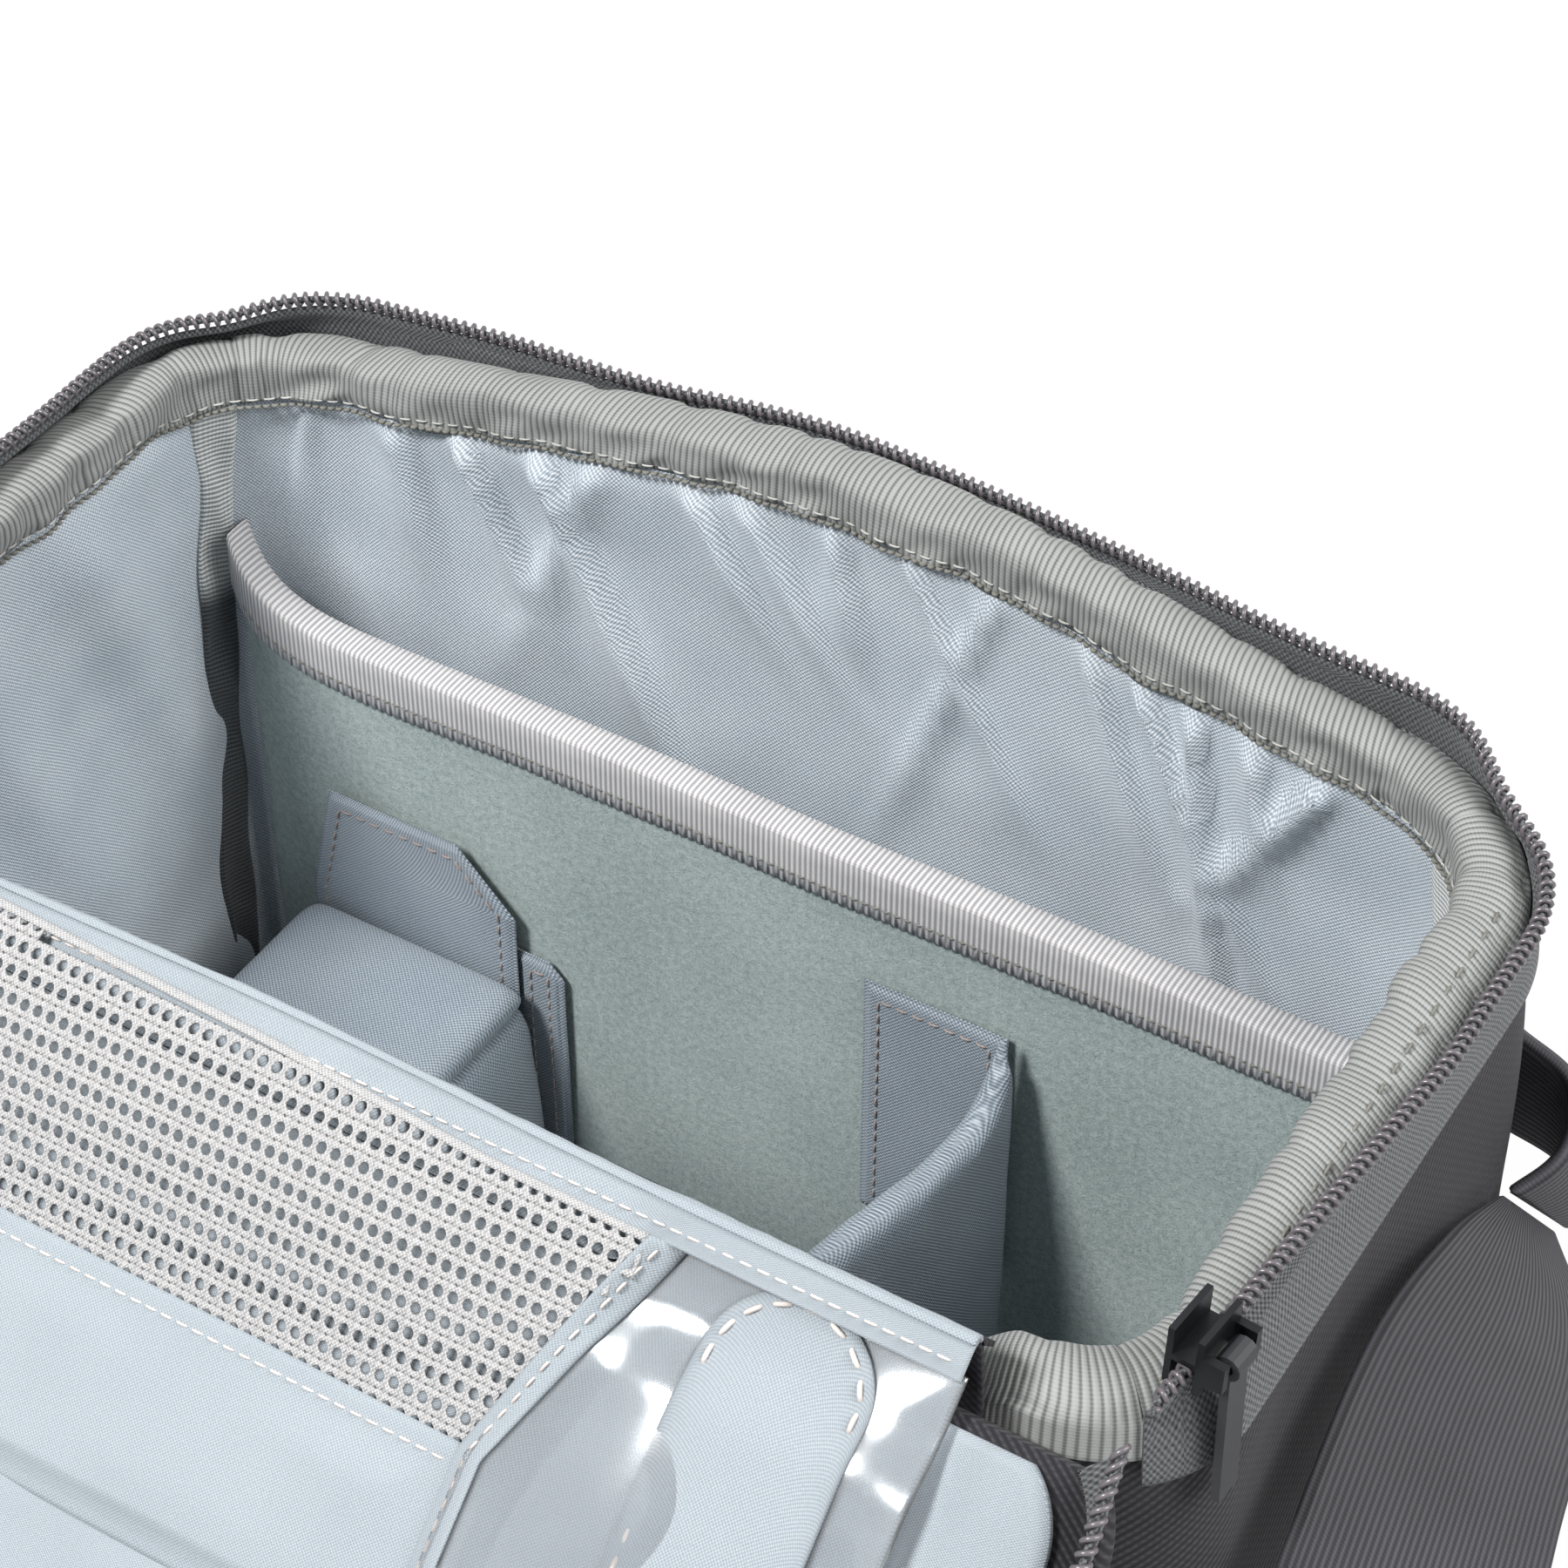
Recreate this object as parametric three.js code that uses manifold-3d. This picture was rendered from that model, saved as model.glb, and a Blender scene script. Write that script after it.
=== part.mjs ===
// A camera shoulder bag with its lid folded open: a padded shell lined with nylon, a tablet
// pocket, two movable dividers, a zip round three sides of the rim, and a webbing strap.
// Millimetres. X runs along the bag, Y from front to rear, Z up. The origin is on the table
// under the middle of the bag.
import * as THREE from "three";
import { mergeVertices } from "three/addons/utils/BufferGeometryUtils.js";
import Module from "manifold-3d";

// Shell of the bag
const halfLength = 137;
const frontReach = 79;
const rearReach = 71;
const frontCornerRadius = 20;
const rearCornerRadius = 36;
const innerFrontRadius = 14;
const innerRearRadius = 26;
const rimHeight = 238.5;
const rearArch = 8;
const rearBow = 11;
const fullness = { left: 8, rear: 6, right: 8, front: 3 };
const fullnessPower = 0.6;
const cornerShare = 0.2;
const wallThickness = 8;
const baseThickness = 9;
const baseEdgeRadius = 8;
const baseLean = 2;
const seat = 0.3;

// Lining, floor and tapes inside the shell
const liningThickness = 1;
const floorPadThickness = 5;
const tapeThickness = 1.2;
const cornerTapeWidth = 10;
const bindingDrop = 8;
const bindingCrown = 1.5;

// Tablet pocket
const pocketFrontFace = 49;
const pocketThickness = 5;
const pocketHeight = 184;
const pocketEndRise = 15;
const pocketEndWidth = 12;
const pocketBindingDrop = 11;
const pocketBindingThickness = 0.8;

// Zip round the rim
const coilRadius = 1.5;
const coilOutset = { left: -3, rear: 1, right: 4.9, front: 1 };
const coilRise = { left: 7, rear: 8.5, right: 3.3, front: 3.3 };
const coilEndOutset = { left: -3, right: -0.7 };
const coilEndRise = { left: 7, right: 7.1 };
const cornerPull = 3.5;
const cornerSharpness = 6;
const rearCoilPush = 2.8;
const rearCoilDip = 2;
const zipTapeThickness = 0.8;
const zipTapeDrop = 12.5;
const zipTapeStand = 0.6;
const coilSpacing = 4.6;

// Zip sliders and pulls
const sliderLength = 10;
const sliderPlate = 1;
const sliderRest = -66;
const sliderFar = 5;
const sliderEarReach = 3.4;
const sliderEarWidth = 1.4;
const bailRadius = 0.7;
const eyeWall = 1.1;
const pullLength = 26;
const pullWidth = 5;
const pullThickness = 1.4;
const pullTilt = { left: 16, right: 3 };

// Lid, drawn closed and then swung open about the hinge line
const hingeStand = 4;
const hingeRise = 12.5;
const openAngle = 222;
const uprightAngle = 90;
const lidSeat = 1.6;
const lidEdgeThickness = 6;
const lidCrown = 4;
const lidOverhang = 1;
const lidFrontGap = 11;
const lidLiningInset = 6;
const hemStart = 0.6;
const hemWidth = 12;
const hemThickness = 1;
const hingeHalfWidth = 112;
const hingeStripDrop = 12.5;
const hingeStripGap = 1.3;
const hingeStripThickness = 1;

// Mesh pocket and card window inside the lid
const netLeft = -125;
const netRight = 48;
const netTop = 16;
const netDepth = 58;
const netStand = 6;
const netThickness = 0.8;
const netBorder = 4;
const netPitch = 8.4;
const netHoleRadius = 3.1;
const netSeamWidth = 4;
const windowLeft = 52;
const windowRight = 112;
const windowThickness = 0.6;
const windowTapeWidth = 7;
const windowTapeThickness = 0.8;
const patchRadius = 15;
const patchHeight = 40;
const patchThickness = 0.6;

// Carrying handle on the outside of the lid
const handleSpan = 62;
const handleReach = 34;
const handleLine = 112;
const gripWidth = 13;
const gripThickness = 6;
const anchorWidth = 13;
const anchorLength = 20;
const anchorThickness = 1.6;
const handleEyeRadius = 3;

// Dividers
const dividerThickness = 8;
const tabThickness = 1.3;
const postTop = 111;
const postLean = 9;
const shelfLeft = -110;
const shelfRight = -60;
const shelfTabHeight = 28;
const shelfTabClip = 13;
const postTabLeft = -61;
const postTabRight = -50;
const postTabHeight = 124;
const postTabClip = 3.5;
const tabFoot = 50;
const curveRear = 48;
const curveFront = 14;
const curveRearTop = 163;
const curveFrontTop = 122;
const curveThickness = 7;
const curveTabLeft = 18;
const curveTabTop = 157;
const curveTabFoot = 96;
const frontTabLength = 22;

// Front pouch
const pouchMargin = 0.13;
const pouchFoot = 30;
const pouchTop = 172;
const pouchDepth = 19;
const pouchSkin = 2.5;
const pouchBindingHeight = 3;
const pouchBindingExtra = 0.8;
const pouchBindingLap = 0.2;

// Shoulder strap, sewn to webbing loops at the rear corners
const strapWidth = 45;
const strapThickness = 2.2;
const strapLoopThickness = 3;
const strapRunHalf = 100;
const strapRunRear = -178;
const strapRunHeight = 3.2;
const padHalf = 75;
const padCentre = -20;
const padWidth = 62;
const padThickness = 8.4;
const buckleCentre = 76;
const buckleLength = 10;
const buckleBar = 3;
const buckleWidth = 54;
const tailLength = 40;
const runningGap = 0.3;
const weldDistance = 0.0001;

const quarter = Math.PI / 4;

// Values that follow from the sizes
const sliderHalf = coilRadius + runningGap + sliderPlate;
const hingeY = -frontReach - hingeStand;
const hingeZ = rimHeight + hingeRise;
const hingeStripLow = rimHeight - hingeStripDrop;
const hingeStripTop = hingeZ - hingeStripGap;
const lidRise = Math.max(...Object.values(coilRise)) + coilSpacing + sliderHalf + lidSeat - hingeRise;
const wasm = await Module();
wasm.setup();

const mix = (from, to, share) => from + (to - from) * share;
const vector = (x, y, z) => new THREE.Vector3(x, y, z);

const finishes = {
  shell: new THREE.MeshStandardMaterial({ color: 0x4b4a4e, roughness: 0.85, metalness: 0 }),
  lining: new THREE.MeshStandardMaterial({ color: 0xa3b0bb, roughness: 0.55, metalness: 0 }),
  binding: new THREE.MeshStandardMaterial({ color: 0xb4b4ae, roughness: 0.8, metalness: 0 }),
  loop: new THREE.MeshStandardMaterial({ color: 0x7f908c, roughness: 0.95, metalness: 0 }),
  divider: new THREE.MeshStandardMaterial({ color: 0x7d8995, roughness: 0.55, metalness: 0 }),
  net: new THREE.MeshStandardMaterial({ color: 0xcfcfcd, roughness: 0.8, metalness: 0 }),
  clear: new THREE.MeshStandardMaterial({ color: 0xe6ecef, roughness: 0.1, metalness: 0 }),
  tape: new THREE.MeshStandardMaterial({ color: 0x3e4144, roughness: 0.9, metalness: 0 }),
  coil: new THREE.MeshStandardMaterial({ color: 0x4a4448, roughness: 0.3, metalness: 0 }),
  metal: new THREE.MeshStandardMaterial({ color: 0x2b2b2d, roughness: 0.35, metalness: 0.9 }),
  webbing: new THREE.MeshStandardMaterial({ color: 0x55545a, roughness: 0.75, metalness: 0 }),
  plastic: new THREE.MeshStandardMaterial({ color: 0x1f2023, roughness: 0.45, metalness: 0 }),
};

// Makes a closed skin from places and triangles, turned so that it faces out
function skin(places, faces) {
  let volume = 0;
  for (let k = 0; k < faces.length; k += 3) {
    const [a, b, c] = [places[faces[k]], places[faces[k + 1]], places[faces[k + 2]]];
    volume += a.dot(b.clone().cross(c));
  }
  const index = volume < 0 ? [...faces].reverse() : faces;
  const geometry = new THREE.BufferGeometry().setFromPoints(places);
  geometry.setIndex(index);
  geometry.computeVertexNormals();
  return geometry;
}

// A sheet with a thickness: point(u, v, w) gives a place on its face (w = 0) or its back (w = 1)
function slab(point, columns, rows) {
  const places = [];
  for (const w of [0, 1]) {
    for (let j = 0; j <= rows; j++) {
      for (let i = 0; i <= columns; i++) places.push(point(i / columns, j / rows, w));
    }
  }
  const at = (i, j, w) => (w * (rows + 1) + j) * (columns + 1) + i;
  const faces = [];
  const quad = (a, b, c, d) => faces.push(a, b, c, a, c, d);
  for (let j = 0; j < rows; j++) {
    for (let i = 0; i < columns; i++) {
      quad(at(i, j, 0), at(i + 1, j, 0), at(i + 1, j + 1, 0), at(i, j + 1, 0));
      quad(at(i, j, 1), at(i, j + 1, 1), at(i + 1, j + 1, 1), at(i + 1, j, 1));
    }
    quad(at(0, j, 0), at(0, j + 1, 0), at(0, j + 1, 1), at(0, j, 1));
    quad(at(columns, j, 1), at(columns, j + 1, 1), at(columns, j + 1, 0), at(columns, j, 0));
  }
  for (let i = 0; i < columns; i++) {
    quad(at(i, 0, 1), at(i + 1, 0, 1), at(i + 1, 0, 0), at(i, 0, 0));
    quad(at(i, rows, 0), at(i + 1, rows, 0), at(i + 1, rows, 1), at(i, rows, 1));
  }
  return skin(places, faces);
}

// A section carried along stations; rings holds one list of places for each station
function tube(rings, closed = false) {
  const sides = rings[0].length;
  const places = rings.flat();
  const faces = [];
  const at = (k, m) => (k % rings.length) * sides + (m % sides);
  const steps = closed ? rings.length : rings.length - 1;
  for (let k = 0; k < steps; k++) {
    for (let m = 0; m < sides; m++) {
      faces.push(at(k, m), at(k, m + 1), at(k + 1, m + 1));
      faces.push(at(k, m), at(k + 1, m + 1), at(k + 1, m));
    }
  }
  if (!closed) {
    const last = (rings.length - 1) * sides;
    for (let m = 1; m < sides - 1; m++) {
      faces.push(m + 1, m, 0);
      faces.push(last, last + m, last + m + 1);
    }
  }
  return skin(places, faces);
}

// Rings stacked from bottom to top, closed below and above by a fan to the middle of each end
function stack(rings) {
  const sides = rings[0].length;
  const middle = (ring) => {
    const sum = ring.reduce((total, place) => total.add(place), vector(0, 0, 0));
    return sum.divideScalar(sides);
  };
  const places = [...rings.flat(), middle(rings[0]), middle(rings.at(-1))];
  const [low, high] = [places.length - 2, places.length - 1];
  const faces = [];
  const at = (k, m) => k * sides + (m % sides);
  for (let k = 0; k < rings.length - 1; k++) {
    for (let m = 0; m < sides; m++) {
      faces.push(at(k, m), at(k, m + 1), at(k + 1, m + 1));
      faces.push(at(k, m), at(k + 1, m + 1), at(k + 1, m));
    }
  }
  for (let m = 0; m < sides; m++) {
    faces.push(low, at(0, m + 1), at(0, m));
    faces.push(high, at(rings.length - 1, m), at(rings.length - 1, m + 1));
  }
  return skin(places, faces);
}

// A flat outline of [x, y] corners as a shape, and the same given a thickness
function outlineShape(corners) {
  return new THREE.Shape(corners.map(([x, y]) => new THREE.Vector2(x, y)));
}

function plate(corners, thickness, curveSegments = 6) {
  const shape = corners instanceof THREE.Shape ? corners : outlineShape(corners);
  return new THREE.ExtrudeGeometry(shape, { depth: thickness, bevelEnabled: false, curveSegments });
}

// Stands a plate drawn in X and Z upright, its face at frontY and its back further to the rear
function upright(geometry, frontY, thickness) {
  return geometry.rotateX(Math.PI / 2).translate(0, frontY + thickness, 0);
}

// The four sides of the shell, in order round it
const sideNames = ["left", "rear", "right", "front"];
const bySide = ([nx, ny], values) =>
  Math.max(nx, 0) ** 2 * values.right +
  Math.max(-nx, 0) ** 2 * values.left +
  Math.max(ny, 0) ** 2 * values.rear +
  Math.max(-ny, 0) ** 2 * values.front;
const leans = { left: baseLean, rear: 0, right: baseLean, front: baseLean };

// How near a place on the rear side is to that side's middle, 0 at its ends and 1 midway
function middleness(share) {
  const { length, radii } = sideFrame("rear", 0);
  const corner = radii[0] * quarter;
  const straight = length - 2 * radii[0];
  const end = Math.min(share, 1 - share);
  const distance =
    end < cornerShare
      ? (corner * end) / cornerShare
      : corner + (straight * (end - cornerShare)) / (1 - 2 * cornerShare);
  return Math.sin((Math.PI * distance) / (2 * corner + straight)) ** 2;
}

// Where a side starts, which way it runs and faces, and its corner radii, inset from outside
function sideFrame(side, inset) {
  const half = halfLength - inset;
  const front = -frontReach + inset;
  const rear = rearReach - inset;
  const drop = Math.max(inset, 0) / wallThickness;
  const swell = Math.max(-inset, 0);
  const frontRadius = mix(frontCornerRadius, innerFrontRadius, drop) + swell;
  const rearRadius = mix(rearCornerRadius, innerRearRadius, drop) + swell;
  const frames = {
    left: { from: [-half, front], run: [0, 1], out: [-1, 0], length: rear - front },
    rear: { from: [-half, rear], run: [1, 0], out: [0, 1], length: 2 * half },
    right: { from: [half, rear], run: [0, -1], out: [1, 0], length: rear - front },
    front: { from: [half, front], run: [-1, 0], out: [0, -1], length: 2 * half },
  };
  const radii = {
    left: [frontRadius, rearRadius],
    rear: [rearRadius, rearRadius],
    right: [rearRadius, frontRadius],
    front: [frontRadius, frontRadius],
  };
  return { ...frames[side], radii: radii[side] };
}

// A place on the shell: share runs from one corner's middle to the next corner's middle, and
// cornerShare of it lies on each of the two half corners
function onShell(side, share, inset, z) {
  const { from, run, out, length, radii } = sideFrame(side, inset);
  const [first, last] = radii;
  const before = Math.min(share / cornerShare - 1, 0) * quarter;
  const after = Math.max(1 - (1 - share) / cornerShare, 0) * quarter;
  const angle = before + after;
  const radius = before < 0 ? first : last;
  const middleShare = THREE.MathUtils.clamp((share - cornerShare) / (1 - 2 * cornerShare), 0, 1);
  const along = mix(first, length - last, middleShare) + radius * Math.sin(angle);
  const off = radius * (Math.cos(angle) - 1);
  const [sine, cosine] = [Math.sin(angle), Math.cos(angle)];
  const normal = [run[0] * sine + out[0] * cosine, run[1] * sine + out[1] * cosine];
  const level = THREE.MathUtils.clamp(z / wallTop(side, share), 0, 1);
  const bow = side === "rear" ? rearBow * middleness(share) * level : 0;
  const outer = THREE.MathUtils.clamp(1 - inset / wallThickness, 0, 1);
  const bulge = bySide(normal, fullness) * outer * Math.sin(Math.PI * level) ** fullnessPower;
  const push = bow + bulge - bySide(normal, leans) * (1 - level) ** 2;
  return {
    normal,
    x: from[0] + run[0] * along + out[0] * off + normal[0] * push,
    y: from[1] + run[1] * along + out[1] * off + normal[1] * push,
    z,
  };
}

// The same as a place in space, moved out from the shell along its normal
function shellPlace(side, share, outset, z) {
  const { x, y } = onShell(side, share, -outset, z);
  return vector(x, y, z);
}

const wallTop = (side, share) => rimHeight + (side === "rear" ? rearArch * middleness(share) : 0);

// A ring right round the shell
const stepsPerSide = 15;
const wallRows = 8;
const liningRows = 4;
function shellRing(outset, heightAt) {
  return sideNames.flatMap((side) =>
    Array.from({ length: stepsPerSide }, (_, k) => {
      const share = k / stepsPerSide;
      return shellPlace(side, share, outset, heightAt(side, share));
    }),
  );
}

// One panel of a side, between two insets, with a seam's width left at each corner
function sidePanel(side, outer, inner, low, top, rows) {
  const { radii } = sideFrame(side, inner);
  const edge = (seat / (Math.min(...radii) * quarter)) * cornerShare;
  return slab(
    (u, v, w) => {
      const share = THREE.MathUtils.clamp(u, edge, 1 - edge);
      return shellPlace(side, share, -mix(outer, inner, w), mix(low, top(side, share), v));
    },
    stepsPerSide,
    rows,
  );
}

const bag = new THREE.Group();
function add(name, geometry, finish, holder = bag) {
  const mesh = new THREE.Mesh(geometry, finishes[finish]);
  mesh.name = name;
  holder.add(mesh);
  return mesh;
}

// Padded base with a rounded lower edge
function basePanel() {
  const levelShares = [0, 0.15, 0.5, 1];
  const rings = levelShares.map((share) => {
    const z = share * baseThickness;
    const rise = Math.max(baseEdgeRadius - z, 0);
    const inset = baseEdgeRadius - Math.sqrt(baseEdgeRadius ** 2 - rise ** 2);
    return shellRing(-inset, () => z);
  });
  add("base_panel", stack(rings), "shell");
}

// Four padded walls and the lining panel sewn inside each
const wallFoot = baseThickness + seat;
const liningFace = wallThickness + seat;
const liningBack = liningFace + liningThickness;
const insideFace = liningBack + seat;
const floorTop = wallFoot + floorPadThickness;
function wallsAndLinings() {
  for (const side of sideNames) {
    add(`${side}_wall`, sidePanel(side, 0, wallThickness, wallFoot, wallTop, wallRows), "shell");
    const lining = sidePanel(side, liningFace, liningBack, wallFoot, wallTop, liningRows);
    add(`${side}_lining`, lining, "lining");
  }
  const floorRings = [wallFoot, floorTop].map((z) => shellRing(-insideFace, () => z));
  add("floor_pad", stack(floorRings), "lining");
}

// Grosgrain binding folded over the top of walls and lining, all the way round
function rimBinding() {
  const [outerLeg, innerLeg] = [seat + tapeThickness, insideFace + tapeThickness];
  const crown = bindingCrown + seat;
  const profile = [
    [outerLeg, -bindingDrop],
    [outerLeg, crown - tapeThickness],
    [outerLeg - tapeThickness, crown],
    [-(innerLeg - tapeThickness), crown],
    [-innerLeg, crown - tapeThickness],
    [-innerLeg, -bindingDrop],
    [-insideFace, -bindingDrop],
    [-insideFace, seat],
    [seat, seat],
    [seat, -bindingDrop],
  ];
  const rings = sideNames.flatMap((side) =>
    Array.from({ length: stepsPerSide }, (_, k) => {
      const share = k / stepsPerSide;
      const top = wallTop(side, share);
      return profile.map(([outset, rise]) => shellPlace(side, share, outset, top + rise));
    }),
  );
  add("rim_binding", tube(rings, true), "binding");
}

// A place on the lining near the corner where two sides meet, across being measured round it
function nearCorner(before, after, across, inset, z) {
  const side = across < 0 ? before : after;
  const { radii } = sideFrame(after, inset);
  const share = (Math.abs(across) / (radii[0] * quarter)) * cornerShare;
  return shellPlace(side, across < 0 ? 1 - share : share, -inset, z);
}

// Tape down each inner corner, over the seam of the lining
const cornerTapeSteps = 4;
function cornerTapes() {
  const corners = {
    rear_left: ["left", "rear"],
    rear_right: ["rear", "right"],
    front_right: ["right", "front"],
    front_left: ["front", "left"],
  };
  const low = floorTop + seat;
  const high = rimHeight - bindingDrop - seat;
  for (const [name, [before, after]] of Object.entries(corners)) {
    const tape = slab(
      (u, v, w) => {
        const across = mix(-cornerTapeWidth / 2, cornerTapeWidth / 2, u);
        return nearCorner(before, after, across, insideFace + w * liningThickness, mix(low, high, v));
      },
      cornerTapeSteps,
      cornerTapeSteps,
    );
    add(`corner_tape_${name}`, tape, "binding");
  }
}

// The padded pocket that holds a tablet upright against the rear wall, and its bound edge
const pocketEndShares = [1 / 3, 1 / 2, 2];
const pocketEndSteps = 6;
function tabletPocket() {
  const reach = (z) => {
    const clear = insideFace + liningThickness + seat;
    const far = pocketFrontFace + pocketThickness + pocketBindingThickness + seat;
    const { radii } = sideFrame("left", clear);
    const rise = far - (rearReach - clear - radii[1]);
    const lean = baseLean * (1 - z / rimHeight) ** 2;
    return halfLength - clear - radii[1] + Math.sqrt(radii[1] ** 2 - rise ** 2) - lean - seat;
  };
  const foot = floorTop + seat;
  const [low, high] = [reach(foot), reach(pocketHeight)];
  const raised = pocketHeight + pocketEndRise;
  const level = pocketEndShares.map(
    (share) => new THREE.Vector2(-high + share * pocketEndWidth, pocketHeight),
  );
  const edge = new THREE.CubicBezierCurve(new THREE.Vector2(-high, raised), ...level);
  const rim = edge.getPoints(pocketEndSteps).map((point) => [point.x, point.y]);
  const panel = plate([[-low, foot], ...rim, [high, pocketHeight], [low, foot]], pocketThickness);
  add("tablet_pocket_panel", upright(panel, pocketFrontFace, pocketThickness), "loop");

  const top = [...rim, [high, pocketHeight]];
  const [skinGap, cover] = [seat, pocketBindingThickness + seat];
  const front = pocketFrontFace;
  const back = pocketFrontFace + pocketThickness;
  const rings = top.map(([x, z]) => {
    const leg = z - pocketBindingDrop;
    return [
      vector(x, front - cover, leg),
      vector(x, front - skinGap, leg),
      vector(x, front - skinGap, z + skinGap),
      vector(x, back + skinGap, z + skinGap),
      vector(x, back + skinGap, leg),
      vector(x, back + cover, leg),
      vector(x, back + cover, z + cover),
      vector(x, front - cover, z + cover),
    ];
  });
  add("tablet_pocket_binding", bandOver(rings), "binding");
}

// A folded band: like a tube, with ends made of the flat strips of its folds
function bandOver(rings) {
  const strips = [
    [0, 1, 2, 7],
    [7, 2, 3, 6],
    [6, 3, 4, 5],
  ];
  const sides = rings[0].length;
  const places = rings.flat();
  const faces = [];
  const at = (k, m) => k * sides + (m % sides);
  for (let k = 0; k < rings.length - 1; k++) {
    for (let m = 0; m < sides; m++) {
      faces.push(at(k, m), at(k, m + 1), at(k + 1, m + 1));
      faces.push(at(k, m), at(k + 1, m + 1), at(k + 1, m));
    }
  }
  const last = (rings.length - 1) * sides;
  for (const [a, b, c, d] of strips) {
    faces.push(c, b, a, d, c, a);
    faces.push(last + a, last + b, last + c, last + a, last + c, last + d);
  }
  return skin(places, faces);
}

// The straight stretch of the zip that a slider runs on, from near the front corner
function sliderRun(side) {
  const sense = side === "right" ? 1 : -1;
  const place = (outset, y, rise) => vector(sense * (halfLength + outset), y, rimHeight + rise);
  const from = place(coilEndOutset[side], sliderRest, coilEndRise[side]);
  const to = place(coilOutset[side], sliderFar, coilRise[side]);
  return { from, along: to.sub(from).normalize() };
}

// The line of the body's coil: place on the zip's way round left, rear and right sides
const zipSides = ["left", "rear", "right"];
function coilPoint(way, lift = 0) {
  const index = Math.min(Math.floor(way * zipSides.length), zipSides.length - 1);
  const side = zipSides[index];
  const share = way * zipSides.length - index;
  const { normal, x, y } = onShell(side, share, 0, rimHeight);
  if (y < sliderFar) {
    const { from, along } = sliderRun(side);
    const [slant, rise] = [along.x / along.y, along.z / along.y];
    const outset = (from.x + slant * (y - from.y) - x) / (normal[0] - slant * normal[1]);
    const z = from.z + rise * (y + normal[1] * outset - from.y);
    return { side, share, normal, outset, z: z + lift };
  }
  const middle = side === "rear" ? middleness(share) : 0;
  const corner = side === "left" && share < 0.5 ? 0 : (2 * normal[0] * normal[1]) ** cornerSharpness;
  const pull = side === "right" && share > 0.5 ? 0 : cornerPull * corner;
  const outset = bySide(normal, coilOutset) + rearCoilPush * middle - pull;
  const z = rimHeight + bySide(normal, coilRise) - rearCoilDip * middle;
  return { side, share, normal, outset, z: z + lift };
}

// A zip coil as one bead along its tape
const zipSteps = zipSides.length * stepsPerSide;
const coilSides = 6;
function coilBead(lift) {
  const angles = Array.from({ length: coilSides }, (_, k) => (2 * k * Math.PI) / coilSides);
  const rings = Array.from({ length: zipSteps + 1 }, (_, k) => {
    const { side, share, outset, z } = coilPoint(k / zipSteps, lift);
    return angles.map((angle) =>
      shellPlace(side, share, outset + coilRadius * Math.cos(angle), z + coilRadius * Math.sin(angle)),
    );
  });
  return tube(rings);
}

// The body's half of the zip: tape sewn outside the binding, standing up to its coil
const bodyTapeRows = 4;
const lidTapeRows = 2;
function bodyZip() {
  const sewn = seat + tapeThickness + seat;
  const tape = slab(
    (u, v, w) => {
      const { side, share, outset, z } = coilPoint(u);
      const upright = outset - zipTapeThickness / 2;
      const lean = upright - sewn;
      const knee = z - sliderHalf - seat;
      const rim = wallTop(side, share);
      const crown = Math.min(rim + bindingCrown + seat, knee - zipTapeStand);
      const rows = [
        [sewn, rim - zipTapeDrop],
        [sewn, rim - bindingDrop],
        [sewn, lean > 0 ? knee - lean : crown],
        [upright, knee],
        [upright, z - coilRadius - seat],
      ];
      const [out, height] = rows[Math.round(v * bodyTapeRows)];
      return shellPlace(side, share, out + w * zipTapeThickness, height);
    },
    zipSteps,
    bodyTapeRows,
  );
  add("body_zip_tape", tape, "tape");
  add("body_zip_coil", coilBead(0), "coil");
}

// Cloth strip on the body below the lid's hinge line
const stripSteps = 8;
const stripRows = 4;
function hingeStrip() {
  const sewn = seat + tapeThickness + seat;
  const standOff = -hingeY - frontReach - hingeStripThickness / 2;
  const strip = slab(
    (u, v, w) => {
      const z = mix(hingeStripLow, hingeStripTop, v);
      const out = mix(sewn, standOff, v ** 2) + w * hingeStripThickness;
      const x = mix(-hingeHalfWidth, hingeHalfWidth, u);
      return vector(x, onShell("front", 0.5, -out, z).y, z);
    },
    stripSteps,
    stripRows,
  );
  add("lid_hinge_strip", strip, "shell");
}

// The lid swings about the hinge line; its pieces are drawn closed, measured from that line
const lid = new THREE.Group();
lid.position.set(0, hingeY, hingeZ);
lid.rotation.x = THREE.MathUtils.degToRad(openAngle);
bag.add(lid);

const lidFront = lidFrontGap;
const lidMiddle = rearReach / 2 - hingeY;
function lidRing(outset, z, share) {
  const ring = shellRing(outset, () => rimHeight);
  return ring.map(({ x, y }) => {
    const forward = Math.max(y - hingeY, lidFront - Math.min(outset, 0));
    return vector(x * share, mix(lidMiddle, forward, share), z);
  });
}

const lidUnder = lidRise;
const lidTop = lidRise + lidEdgeThickness + lidCrown;
// Each ring of its domed top as a share of the way out and of the way up
const domeShares = [
  [0.985, 0],
  [0.85, 0.7],
  [0.65, 1],
];
function lidShell() {
  const edge = lidRise + lidEdgeThickness;
  const rings = [
    lidRing(0, lidUnder, 1),
    lidRing(lidOverhang, (lidUnder + edge) / 2, 1),
    ...domeShares.map(([reach, lift]) => lidRing(0, mix(edge, lidTop, lift), reach)),
  ];
  add("lid_panel", stack(rings), "shell", lid);
  const liningBack = lidUnder - seat;
  const liningRings = [liningBack - liningThickness, liningBack];
  const lining = stack(liningRings.map((z) => lidRing(-lidLiningInset, z, 1)));
  add("lid_lining", lining, "lining", lid);
}
const lidFace = lidUnder - seat - liningThickness;

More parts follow.
